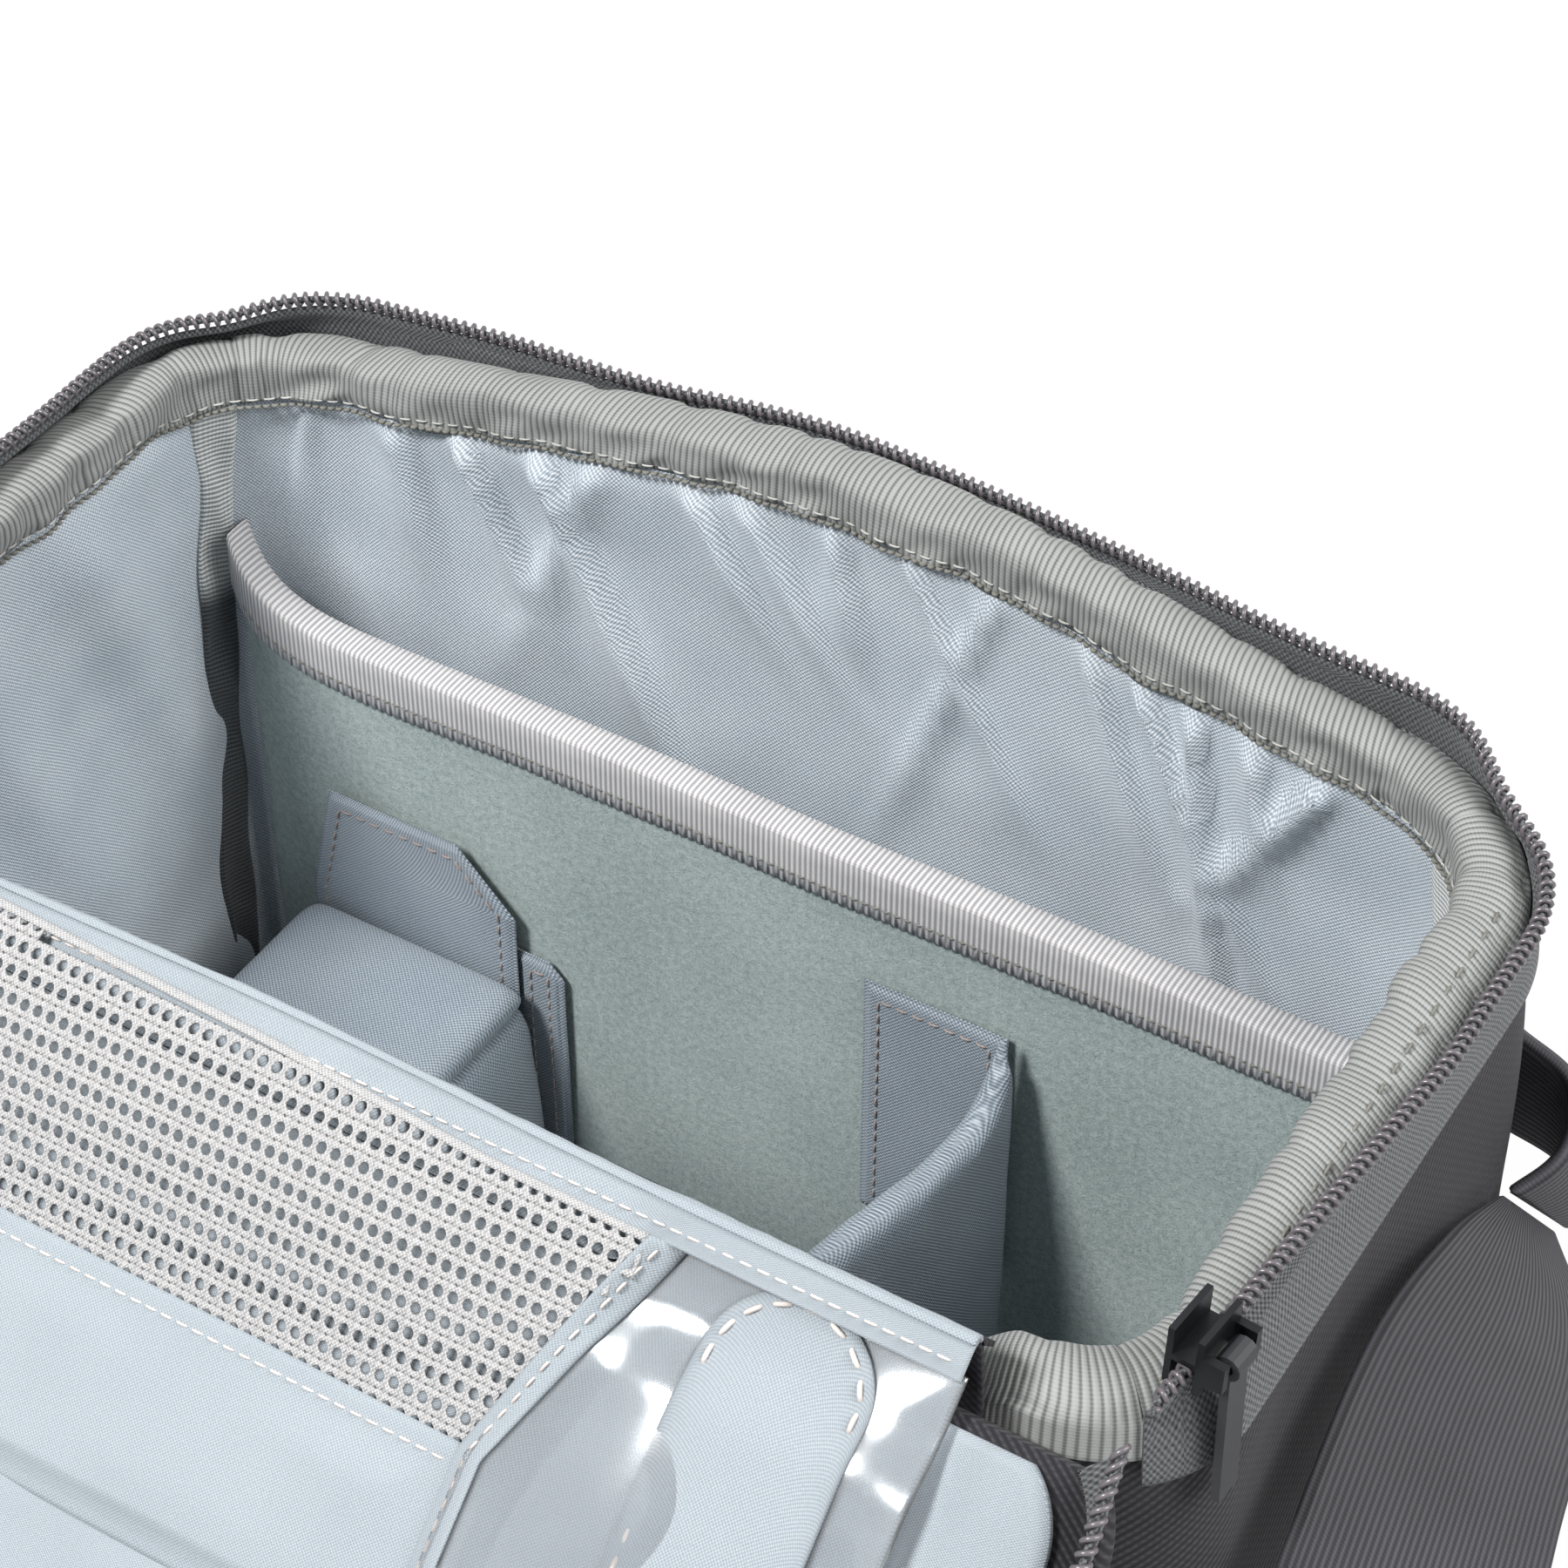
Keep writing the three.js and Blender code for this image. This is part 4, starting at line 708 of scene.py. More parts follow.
base_rings = []
for level in np.linspace(0, 1, 10):
    z = level * 9 * MM
    rise = max(8 * MM - z, 0)
    inset = 8 * MM - math.sqrt((8 * MM) ** 2 - rise ** 2)
    base_rings.append(ring_at(-inset, z))
padded_base = dome("padded_base", base_rings, twill_cloth, "bag", replaces=["base_panel"],
                   slot="shell")
print("base:", len(padded_base.data.polygons), "faces")

# %% Walls
cloth_drift = wandering(3, 0.035, 0.09)
cloth_fold = wandering(4, 0.012, 0.03)


def upright_loop(name, outer, inner, low, rise, rows, material, bumps, per_side=PER_SIDE,
                 **rest):
    shares = np.arange(per_side) / per_side
    levels = np.linspace(0, 1, rows + 1)
    rings = []
    for side in SIDES:
        u = np.repeat(shares[:, None], rows + 1, 1)
        v = np.broadcast_to(levels[None, :], u.shape)
        top = wall_top(side, u) + rise
        z = mixed(low, top, v)
        faces = []
        for outset, sense in ((outer, 1), (inner, -1)):
            place, normal = shell(side, u, outset, z)
            faces.append(place + normal * bumps(side, u, z, top, place, sense)[..., None])
        rings.append(np.concatenate([faces[0], faces[1][:, ::-1]], 1))
    return band(name, np.concatenate(rings), material, "bag", closed=True, **rest)


def wall_bumps(side, u, z, top, place, sense):
    if sense < 0:
        return 0 * u
    near_seam = np.exp(-(z - WALL_FOOT) / 0.012) + np.exp(-(top - z) / 0.012)
    inward = smoothstep(0, 0.01, z - WALL_FOOT) * smoothstep(0, 0.006, top - z)
    folds = cloth_fold(place) * 0.0005 * np.clip(near_seam, 0, 1)
    return (cloth_drift(place) * 0.0007 + folds) * inward


padded_walls = upright_loop("padded_walls", 0, -8 * MM, WALL_FOOT, -1.5 * MM, 60, twill_cloth,
                            wall_bumps, replaces=[f"{side}_wall" for side in SIDES],
                            slot="shell")
print("walls:", len(padded_walls.data.polygons), "faces")

# %% [markdown]
# ## Lining
# The lining is cut a little wider than the shell, so the binding gathers it: from the rim hang
# narrow puckers that lean this way and that and fade further down. The left side has broader,
# softer folds, where the foam behind it stops. All of it swells into the bag, never outwards.

# %% Puckers and folds of the lining
draw = np.random.default_rng(11)
rear_length = 2 * HALF_LENGTH - 2 * REAR_BEND * MM + 2 * REAR_BEND * MM * QUARTER
puckers = []
at = 0.012
while at < rear_length - 0.01:
    puckers.append((at, draw.uniform(0.12, 0.6) * draw.choice([1, 1, -1]),
                    draw.uniform(0.04, 0.11), draw.uniform(0.0032, 0.0060),
                    draw.uniform(0.0028, 0.0052)))
    at += draw.uniform(0.010, 0.019)
soft_folds = wandering(8, 0.045, 0.1)
small_folds = wandering(9, 0.016, 0.035)


def side_place(side, u):
    first, last = [(INNER_REAR_BEND if side in rear_ends else INNER_FRONT_BEND) * MM * QUARTER
                   for rear_ends in (("rear", "right"), ("left", "rear"))]
    whole = (2 * HALF_LENGTH if side in ("rear", "front") else FRONT_REACH + REAR_REACH)
    straight = whole - 2 * INSIDE - (first + last) / QUARTER
    bend_first = first * u / CORNER
    middle = first + straight * (u - CORNER) / (1 - 2 * CORNER)
    bend_last = first + straight + last * (u - (1 - CORNER)) / CORNER
    along = np.where(u < CORNER, bend_first, np.where(u < 1 - CORNER, middle, bend_last))
    return along, first + straight + last


def lining_swell(side, u, z, place):
    top = wall_top(side, u)
    along, whole = side_place(side, u)
    down = top - 8 * MM - z
    end = np.minimum(along, whole - along)
    free = smoothstep(0.004, 0.022, end)
    from_floor = smoothstep(0.0, 0.02, z - FLOOR_TOP)
    soft, small = soft_folds(place) * 0.5 + 0.5, small_folds(place) * 0.5 + 0.5
    if side == "rear":
        swell = 0 * z
        for centre, lean, reach, wide, tall in puckers:
            width = wide * (0.55 + 0.9 * np.clip(down / reach, 0, 1))
            beside = (along - centre - lean * np.clip(down, -0.01, 1)) / width
            ridge = np.exp(-(np.where(beside * lean > 0, beside * 2.1, beside * 0.8)) ** 2)
            fade = smoothstep(0, 0.012, down + 0.006) * (1 - smoothstep(0.3, 1.0, down / reach))
            swell = np.maximum(swell, ridge * fade * tall)
        swell = swell + soft * 0.0012 + small * 0.0004
    elif side == "left":
        sweep = np.sin(2 * math.pi * (along - 0.35 * down) / 0.036 + 0.8) * 0.5 + 0.5
        fade = smoothstep(-0.004, 0.02, down) * (1 - smoothstep(0.05, 0.15, down))
        swell = sweep ** 1.5 * fade * 0.0030 + soft * 0.0014 + small * 0.0004
    elif side == "right":
        swell = soft * 0.0014 + small * 0.0005
    else:
        return small * 0.0002 * free * from_floor
    return swell * free * from_floor * smoothstep(-0.002, 0.006, down)


def lining_bumps(side, u, z, top, place, sense):
    return -lining_swell(side, u, z, place)


lining = upright_loop("lining", -8.3 * MM, -9.3 * MM, WALL_FOOT, -1.5 * MM, 130, lining_cloth,
                      lining_bumps, per_side=170,
                      replaces=[f"{side}_lining" for side in SIDES], slot="lining")
print("lining:", len(lining.data.polygons), "faces,", len(puckers), "puckers")

# %% Floor pad
floor_rings = []
for level, inset in ((0, 0.6), (0.15, 0.15), (0.4, 0), (0.7, 0.1), (0.92, 0.9), (1.0, 2.2)):
    floor_rings.append(ring_at(-INSIDE - inset * MM, WALL_FOOT + level * 5 * MM))
middle = floor_rings[-1].mean(0)
for reach in (0.9, 0.7, 0.45, 0.2):
    floor_rings.append(middle + (floor_rings[5] - middle) * reach)
floor_pad = dome("floor_cushion", floor_rings, lining_cloth, "bag", replaces=["floor_pad"],
                 slot="lining")
print("floor pad:", len(floor_pad.data.polygons), "faces")

# %% [markdown]
# ## Binding and corner tapes
# Grosgrain tape is folded over the raw top edge of wall and lining. A row of stitches and a
# chain of small loops under it run along its inner edge. Because the rim curves, the tape is
# tucked here and there and its lower edges wave. A second tape covers the seam down each inner
# corner, light above and in shade below.

# %% Rim binding
binding_wave = wandering(21, 0.007, 0.016)
binding_sway = wandering(22, 0.018, 0.05)
MIDDLE_OUT, HALF_WIDE, SPRING, RISE = -4.65, 6.15, -2.5, 4.3
RIM_PROFILE = [(1.5, mixed(-8.3, -3.0, k / 6)) for k in range(7)]
for turn in [k / 24 * math.pi for k in range(25)]:
    RIM_PROFILE.append((MIDDLE_OUT + HALF_WIDE * math.cos(turn),
                        SPRING + RISE * math.sin(turn) ** 0.9))
RIM_PROFILE += [(-10.8, mixed(-3.0, -8.3, k / 8)) for k in range(9)]
outer_count = len(RIM_PROFILE)
RIM_PROFILE += [(-10.2, -8.7), (-9.7, -8.4), (-9.6, -6.0), (-9.5, -1.8), (-8.4, -1.25),
                (-0.8, -1.25), (0.25, -1.8), (0.3, -6.0), (0.4, -8.4), (1.0, -8.7)]
draw = np.random.default_rng(17)
tucks = {}
for side in SIDES:
    places = np.cumsum(draw.uniform(8, 21, 40)) * MM
    tucks[side] = [(at, draw.uniform(0.08, 0.3), draw.uniform(1.1, 2.6) * MM) for at in places]
tucks["left"] += [(0.123, 0.34, 2.2 * MM)]
tucks["rear"] += [(0.006, 0.4, 1.6 * MM), (0.021, 0.5, 1.5 * MM)]


def tucked(side, share):
    along, _ = side_place(side, share)
    return sum(deep * np.exp(-((along - at) / wide) ** 2) for at, deep, wide in tucks[side])


def binding_push(place):
    return (binding_wave(place) * 0.5 + 0.4) * 0.0011


def rim_rings(per_side=330):
    shares = np.arange(per_side) / per_side
    rings = []
    for side in SIDES:
        top = wall_top(side, shares)
        pinch = tucked(side, shares)
        rows = []
        for k, (outset, rise) in enumerate(RIM_PROFILE):
            outside = k < outer_count
            shrink = np.clip(1 - pinch * (outside and outset < 1.4), 0.5, 1)
            out = MIDDLE_OUT + (outset - MIDDLE_OUT) * np.maximum(shrink, 0.86)
            place, normal = shell(side, shares, out * MM, top + (rise - 1.8 * (1 - shrink)) * MM)
            low = smoothstep(-1.0, -8.0, rise) if outside else 0
            if outside and outset < -7:
                place = place - normal * (binding_push(place) * (0.4 + low))[:, None]
            if outside and outset < 0:
                wave = binding_wave(place * 0.8) * 0.0004 + binding_sway(place) * 0.0006
                place[:, 2] += wave * smoothstep(1.5, -6, outset)
            if outside and outset < -7:
                place[:, 2] += binding_sway(place + 0.3) * 0.0007 * low
            rows.append(place)
        rings.append(np.stack(rows, 1))
    return np.concatenate(rings)


rim_binding = band("binding", rim_rings(), rim_grosgrain, "bag", closed=True,
                   replaces=["rim_binding"], slot="binding")
print("binding:", len(rim_binding.data.polygons), "faces")

# %% Its stitches, inside and on top of the fold
seam_paths, seam_out = [], []
for side in SIDES:
    shares = np.arange(0, 1.0001, 0.004)
    place, normal = shell(side, shares, -11.0 * MM, wall_top(side, shares) - 6.9 * MM)
    place = place - normal * (binding_push(place) * 1.2)[:, None]
    place[:, 2] += binding_sway(place + 0.3) * 0.0006
    seam_paths.append(place)
    seam_out.append(-normal)
chain_paths = [path - (0, 0, 0.0015) for path in seam_paths[:3]]
binding_seam = stitches("binding_stitches", seam_paths, seam_out, "bag", binding_thread,
                        length=0.0022, pitch=0.0031, radius=0.0002)
stitches("binding_chain", chain_paths, seam_out[:3], "bag", edge_thread,
         length=0.0014, pitch=0.0016, radius=0.00042)
shares = np.arange(0.16, 0.97, 0.004)
top_row, _ = shell("right", shares, -1.9 * MM, wall_top("right", shares) + 1.38 * MM)
stitches("binding_top_stitches", [top_row], [(0, 0, 1)], "bag", edge_thread,
         length=0.0026, pitch=0.0046, radius=0.00028)
print("binding stitches:", len(binding_seam.data.polygons), "faces")

# %% Corner tapes
CORNERS = {"rear_left": ("left", "rear", INNER_REAR_BEND),
           "rear_right": ("rear", "right", INNER_REAR_BEND),
           "front_right": ("right", "front", INNER_FRONT_BEND),
           "front_left": ("front", "left", INNER_FRONT_BEND)}
for name, (before, after, radius) in CORNERS.items():
    corner_ripple = wandering(30 + radius, 0.012, 0.03)
    shift = (-13, -13, -9, -5.8) if name == "rear_left" else (0, 0, 0, 0)

    def tape_place(u, v, w):
        z = mixed(14.6, 230.2, v)
        sway = corner_ripple(spot(mixed(-20, 20, u), 0 * u, z))
        half = 3.6 + 1.2 * smoothstep(212, 228, z)
        across = np.interp(z, [14, 100, 190, 230], shift) + mixed(-half, half, u) + sway * 0.45
        share = np.abs(across) / (radius * QUARTER) * CORNER
        thick = -INSIDE + (0.3 - w * 1.5) * MM
        first = shell(before, 1 - np.minimum(share, 0.19), thick, z * MM)[0]
        second = shell(after, np.minimum(share, 0.19), thick, z * MM)[0]
        return np.where((across < 0)[..., None], first, second)

    def tape_relief(s, t, edge, p):
        return -0.0006 * corner_ripple(p * 1.3) * smoothstep(0, 0.003, edge)

    quilt(f"corner_tape_{name}_ribbed", tape_place, 14, 130, tape_grosgrain, "bag", soft=0.0022,
          relief=tape_relief, through=1.0, replaces=[f"corner_tape_{name}"], slot="binding")
print("corner tapes:", len(CORNERS))

# %% [markdown]
# ## Tablet pocket
# A thin padded sheet faced with brushed loop cloth stands in front of the rear wall and holds
# a tablet upright. Its top edge rises at the left end and is bound with pale ribbed tape that
# ends in a fine scalloped edge.

# %% Pocket panel
def bezier(points, t):
    t = np.asarray(t, float)[..., None]
    a, b, c, d = [np.array(p, float) for p in points]
    return a * (1 - t) ** 3 + 3 * b * (1 - t) ** 2 * t + 3 * c * (1 - t) * t ** 2 + d * t ** 3


pocket_end = bezier([(-123.3, 201), (-120.5, 187), (-112, 184), (-93.4, 184)], np.linspace(0, 1, 40))
pocket_sway = wandering(41, 0.05, 0.12)


def pocket_rim(x):
    return np.interp(x, pocket_end[:, 0], pocket_end[:, 1])


def pocket_push(x, z):
    place = np.stack(np.broadcast_arrays(x, 0 * x, z), -1) * MM
    swell = pocket_sway(place) * 0.28 + 0.22
    return swell * smoothstep(15, 60, z) * smoothstep(0, 25, 117 - x)


def pocket_place(u, v, w):
    top = mixed(-123.2, 117.2, u)
    z = mixed(14.8, pocket_rim(top), v)
    left = np.interp(z, [15, 60, 120, 200], [-117.5, -122, -124, -123.2])
    x = mixed(left, mixed(113.2, 117.2, v), u)
    y = 49.15 + w * 4.7 + pocket_push(x, z)
    return spot(x, y, z)


pocket_panel = quilt("pocket_panel", pocket_place, 150, 90, loop_pile, "bag", soft=0.0025,
                     replaces=["tablet_pocket_panel"], slot="loop_cloth")

# %% Pocket binding with its scalloped edge
stations = np.linspace(-123.3, 117.2, 720)
rims = pocket_rim(stations)
scallop = np.abs(np.sin(stations * math.pi / 1.8))
binding_rings = []
wave = wandering(43, 0.012, 0.03)(spot(stations, 0 * stations, rims)) * 0.25
SCALLOPED = -10.2
POCKET_PROFILE = [(47.95, SCALLOPED), (47.9, -7), (47.95, -3), (48.0, 0.2), (48.5, 1.0),
                  (49.8, 1.15), (52.5, 1.15), (54.3, 1.0), (54.95, 0.2), (55.05, -3),
                  (55.1, -10.5), (54.35, -10.5), (54.3, -0.5), (54.3, 0.3), (48.7, 0.3),
                  (48.7, -0.5), (48.65, SCALLOPED)]
for y, rise in POCKET_PROFILE:
    z = rims + rise + (wave if rise < -5 else 0)
    if rise == SCALLOPED:
        z = z - 0.75 * scallop
    push = pocket_push(stations, np.minimum(z, rims))
    binding_rings.append(spot(stations, y + push, z))
pocket_binding = band("pocket_binding", np.stack(binding_rings, 1), pocket_grosgrain, "bag",
                      replaces=["tablet_pocket_binding"], slot="binding")
xs = np.linspace(-121, 116, 500)
seam = spot(xs, 47.85 + pocket_push(xs, pocket_rim(xs) - 8), pocket_rim(xs) - 7.6)
stitches("pocket_binding_stitches", [seam], [(0, -1, 0)], "bag", edge_thread,
         length=0.0016, pitch=0.0022, radius=0.0002)
print("pocket:", len(pocket_panel.data.polygons), len(pocket_binding.data.polygons), "faces")

# %% [markdown]
# ## The zip
# A coil zip is a nylon wire wound into a spring along the edge of a knitted tape. Open, each
# half shows its turns as a row of dark glossy beads. The tape is sewn to the outside of the rim
# and stands up past the binding, so its line is worked out once and used for tape and coil.

# %% The line of the zip
COIL_OUT = {"left": -3, "rear": 1, "right": 4.9, "front": 1}
COIL_RISE = {"left": 7, "rear": 8.5, "right": 3.3, "front": 3.3}
COIL_END_OUT, COIL_END_RISE = {"left": -3, "right": -0.7}, {"left": 7, "right": 7.1}
COIL_GAP = 4.6
zip_sway = wandering(51, 0.03, 0.08)


def zip_line(side, share, lift=0.0):
    place, normal = shell(side, share, 0, RIM)
    x, y = place[:, 0] / MM, place[:, 1] / MM
    nx, ny = normal[:, 0], normal[:, 1]
    middle = middleness(share) if side == "rear" else 0 * share
    free = (share < 0.5) if side == "left" else (share > 0.5) if side == "right" else (share < -1)
    pull = np.where(free, 0, 3.5 * np.abs(2 * nx * ny) ** 6)
    outset = by_side(nx, ny, COIL_OUT) + 2.8 * middle - pull
    z = 238.5 + by_side(nx, ny, COIL_RISE) - 2 * middle
    sway = zip_sway(place) * smoothstep(8, 30, y)
    outset = outset + sway * 0.5
    z = z + zip_sway(place + 0.4) * smoothstep(8, 30, y) * 0.35
    if side != "rear":
        sense = 1 if side == "right" else -1
        start = np.array([sense * (137 + COIL_END_OUT[side]), -66, 238.5 + COIL_END_RISE[side]])
        end = np.array([sense * (137 + COIL_OUT[side]), 5, 238.5 + COIL_RISE[side]])
        slant, rise = (end - start)[[0, 2]] / (end - start)[1]
        straight = (start[0] + slant * (y + 66) - x) / (nx - slant * ny)
        level = start[2] + rise * (y + ny * straight + 66)
        outset, z = np.where(y < 5, straight, outset), np.where(y < 5, level, z)
    return outset, z + lift


def zip_way(steps, lift=0.0):
    places, normals = [], []
    for side in SIDES[:3]:
        share = np.linspace(0, 1, steps, endpoint=side == "right")
        outset, z = zip_line(side, share, lift)
        place, normal = shell(side, share, outset * MM, z * MM)
        places.append(place)
        normals.append(normal)
    return np.concatenate(places), np.concatenate(normals)


LID_OPEN = math.radians(222)
HINGE_Y, HINGE_Z = -83, 251


def opened(points):
    y, z = points[..., 1] - HINGE_Y * MM, points[..., 2] - HINGE_Z * MM
    return np.stack([points[..., 0],
                     HINGE_Y * MM + y * math.cos(LID_OPEN) - z * math.sin(LID_OPEN),
                     HINGE_Z * MM + y * math.sin(LID_OPEN) + z * math.cos(LID_OPEN)], -1)


print("zip length:", round(float(lengths(zip_way(200)[0][None].transpose(1, 0, 2), 0)[-1]), 4), "m")

# %% Coils
COIL_PITCH, COIL_STEPS, COIL_WIDE, COIL_TALL, COIL_WIRE = 0.00195, 12, 0.00104, 0.00098, 0.00045


def coil(name, lift, node, body, move=None):
    path, out = zip_way(500, lift)
    far = np.concatenate([[0], np.cumsum(np.linalg.norm(np.diff(path, axis=0), axis=1))])
    turns = int(far[-1] / COIL_PITCH)
    at = np.linspace(0, far[-1], turns * COIL_STEPS + 1)
    middle, side = along_path(at, far, path), along_path(at, far, out)
    phase = np.arange(len(at)) * 2 * math.pi / COIL_STEPS
    up = np.array([0, 0, 1.0])
    wire = (middle + side * (np.cos(phase) * COIL_WIDE)[:, None]
            + up * (np.sin(phase) * COIL_TALL)[:, None])
    rings = round_tube(wire, COIL_WIRE, 6)
    core = round_tube(middle[::6], 0.0005, 6)
    if move:
        rings, core = move(rings), move(core)
    band(name, rings, coil_nylon, body, replaces=[node], slot="zip_coil")
    band(name + "_cord", core, zip_knit, body, slot="zip_tape")
    print(name, turns, "turns")


coil("body_coil_turns", 0, "body_zip_coil", "bag")
coil("lid_coil_turns", COIL_GAP, "lid_zip_coil", "lid", opened)

# %% Tapes
def zip_band(name, lift, rows_at, node, body, move=None, steps=150, rows=14):
    rings = []
    for side in SIDES[:3]:
        share = np.linspace(0, 1, steps, endpoint=side == "right")
        outset, z = zip_line(side, share, lift)
        outs, heights = rows_at(side, share, outset, z)
        outs, heights = np.stack(outs, 1), np.stack(heights, 1)
        v = np.linspace(0, outs.shape[1] - 1, rows)
        low = np.minimum(v.astype(int), outs.shape[1] - 2)
        part = v - low
        outs = outs[:, low] * (1 - part) + outs[:, low + 1] * part
        heights = heights[:, low] * (1 - part) + heights[:, low + 1] * part
        faces = []
        for thick in (0.0, 0.7):
            faces.append(shell(side, share[:, None] + 0 * outs, (outs + thick) * MM,
                               heights * MM)[0])
        rings.append(np.concatenate([faces[0], faces[1][:, ::-1]], 1))
    rings = np.concatenate(rings)
    if move:
        rings = move(rings)
    return band(name, rings, zip_knit, body, replaces=[node], slot="zip_tape")


def body_tape_rows(side, share, outset, z):
    rim = wall_top(side, share) / MM
    upright = outset - 0.35
    knee = z - 3.1
    lean = upright - 1.8
    crown = np.minimum(rim + 1.8, knee - 0.6)
    bend = np.where(lean > 0, knee - lean, crown)
    return ([0 * z + 1.8, 0 * z + 1.8, 0 * z + 1.8, upright, upright],
            [rim - 12.4, rim - 8, bend, knee, z - 1.75])


def lid_tape_rows(side, share, outset, z):
    upright = outset - 0.35
    return [upright, upright, 0 * z - 1.8], [z + 1.75, z + 3.1, 0 * z + 255.7]


body_tape = zip_band("body_zip_tape_knit", 0, body_tape_rows, "body_zip_tape", "bag")
lid_tape = zip_band("lid_zip_tape_knit", COIL_GAP, lid_tape_rows, "lid_zip_tape", "lid", opened)
print("tapes:", len(body_tape.data.polygons) + len(lid_tape.data.polygons), "faces")

# %% [markdown]
# ## Lid
# The lid is a shallow padded dish. Open, it hangs down in front with its lining up, so each
# piece is worked out as if the lid were closed and then turned about the hinge line. Its hem
# shows as a pale strip with a row of stitches. A dark strip behind the hem closes the lid's
# front edge, and a fold of cloth joins the hem to the bag.

# %% Lid panel and lining
def lid_ring(outset, z, reach, per_side=90):
    ring = ring_at(outset * MM, RIM, per_side) / MM
    forward = np.maximum(ring[:, 1] - HINGE_Y, 11 - min(outset, 0) * 0.3)
    return spot(ring[:, 0] * reach, mixed(118.5, forward, reach) + HINGE_Y, HINGE_Z + z)


lid_rings = [lid_ring(math.sin((z - 5) / 6 * math.pi), z, 1.0) for z in np.linspace(5, 10.8, 7)]
for reach in (0.992, 0.985, 0.97, 0.95, 0.92, 0.88, 0.83, 0.77, 0.7, 0.6, 0.5, 0.4, 0.3, 0.2, 0.1):
    lid_rings.append(lid_ring(0, 11 + 4 * (1 - reach ** 9), reach))
lid_drift = wandering(61, 0.05, 0.11)
lid_rings = np.array(lid_rings)
lid_rings[7:, :, 2] += lid_drift(lid_rings[7:]) * 0.0005
lid_panel = dome("lid_outside", opened(lid_rings), twill_cloth, "lid", replaces=["lid_panel"],
                 slot="shell")

lining_rings = [lid_ring(-6, 4.7, reach) for reach in np.linspace(0.0, 1, 5)[1:]]
lining_rings += [lid_ring(-5.9, 4.2, 1.0)]
lining_rings += [lid_ring(-6, 3.7, reach) for reach in np.linspace(1, 0.02, 60)]
lining_rings = np.array(lining_rings)
x, y = lining_rings[5:, :, 0] / MM, lining_rings[5:, :, 1] / MM - HINGE_Y
apart = np.maximum(np.maximum(-127 - x, x - 114), np.maximum(14 - y, y - 76))
lid_folds = wandering(62, 0.02, 0.06)
swell = (lid_folds(lining_rings[5:]) * 0.5 + 0.6) * 0.0011
lining_rings[5:, :, 2] -= swell * smoothstep(0, 6, apart)
lid_lining = dome("lid_inside", opened(lining_rings), lid_cloth, "lid", replaces=["lid_lining"],
                  slot="lining")
print("lid:", len(lid_panel.data.polygons) + len(lid_lining.data.polygons), "faces")

# %% Hem and hinge strip
def lid_spot(x, y, z):
    return opened(spot(x, y + HINGE_Y, HINGE_Z + z))


def fold_line(x):
    return 0.5 - 1.3 * smoothstep(75, 0, np.abs(x + 5))


def hem_place(u, v, w):
    x = mixed(-112, 112, u)
    y = mixed(fold_line(x), mixed(12.6, 6.8, smoothstep(56, 66, x)), v)
    down = 1 - np.clip((y - fold_line(x)) / 2.2, 0, 1)
    z = 0.4 - 1.5 * np.sqrt(1 - down ** 2) + 4.6 * smoothstep(7.5, 12.6, y)
    return lid_spot(x, y, z + w * 0.9)


hem_wave = wandering(63, 0.012, 0.04)
hem_ripple = wandering(64, 0.004, 0.011)
quilt("lid_hem_cloth", hem_place, 330, 34, lid_cloth, "lid", soft=0.0005,
      relief=lambda s, t, edge, p: hem_wave(p) * 0.00028 + hem_ripple(p) * 0.00007,
      replaces=["lid_hem"], slot="lining")


def strip_place(u, v, w):
    x = mixed(-112, 112, u)
    z = mixed(226, 249.7, v)
    out = mixed(1.8, 3.5, v ** 2) + w * 1.0
    middle = shell("front", 0.5 + 0 * u, out * MM, z * MM)[0]
    return np.stack([x * MM, middle[..., 1], z * MM], -1)


quilt("hinge_strip_cloth", strip_place, 200, 20, twill_cloth, "bag",
      replaces=["lid_hinge_strip"], slot="shell")


def cover_place(u, v, w):
    return lid_spot(mixed(-112, 112, u), 1.3 - w * 0.8, mixed(1.6, 6.8, v))


quilt("hinge_cover_cloth", cover_place, 160, 12, twill_cloth, "lid", slot="shell")
xs = np.linspace(-110, 110, 300)
hem_row = lid_spot(xs, 4.6, -1.15)
down = opened(np.array([0, 0, -0.001])) - opened(np.zeros(3))
stitches("hem_stitches", [hem_row], [down], "lid", beige_thread,
         length=0.0021, pitch=0.0028, radius=0.00021)
print("hem, strip and stitches ready")


# %% The fold that joins them
FOLD_ROUTE = np.array([(-82.45, 248.6), (-82.5, 249.8), (-82.7, 250.8), (-83.3, 251.5),
                       (-84.2, 251.75), (-85.1, 251.15)])


def fold_place(u, v, w):
    x = mixed(-112, 112, u)
    y, z = [np.interp(v * 5, np.arange(6), FOLD_ROUTE[:, k]) for k in (0, 1)]
    bow = (fold_line(x) - 0.5) * smoothstep(0.2, 0.8, v)
    inward = np.stack([0 * x, -83.7 - y, 250.2 - z], -1)
    inward = inward / np.linalg.norm(inward, axis=-1, keepdims=True) * w * 0.8
    return spot(x, y - bow * 0.743, z - bow * 0.669) + inward * MM


fold = quilt("hinge_fold_cloth", fold_place, 330, 20, lid_cloth, None,
             relief=lambda s, t, edge, p: hem_wave(p) * 0.0002 + hem_ripple(p) * 0.00007, slot="lining")
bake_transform(fold)
print("fold:", len(fold.data.polygons), "faces")

# %% [markdown]
# ## Net pocket and card window
# Inside the lid is a pocket of knitted net: holes of a millimetre and a half in straight rows,
# with a pin hole between each two. The net is made cell by cell, each a ring of cloth round its
# hole. It bellies over the hem; its lower edge goes under a facing. A clear window for a card
# sits beside it, with a slanted tape between them and an arched patch on it.

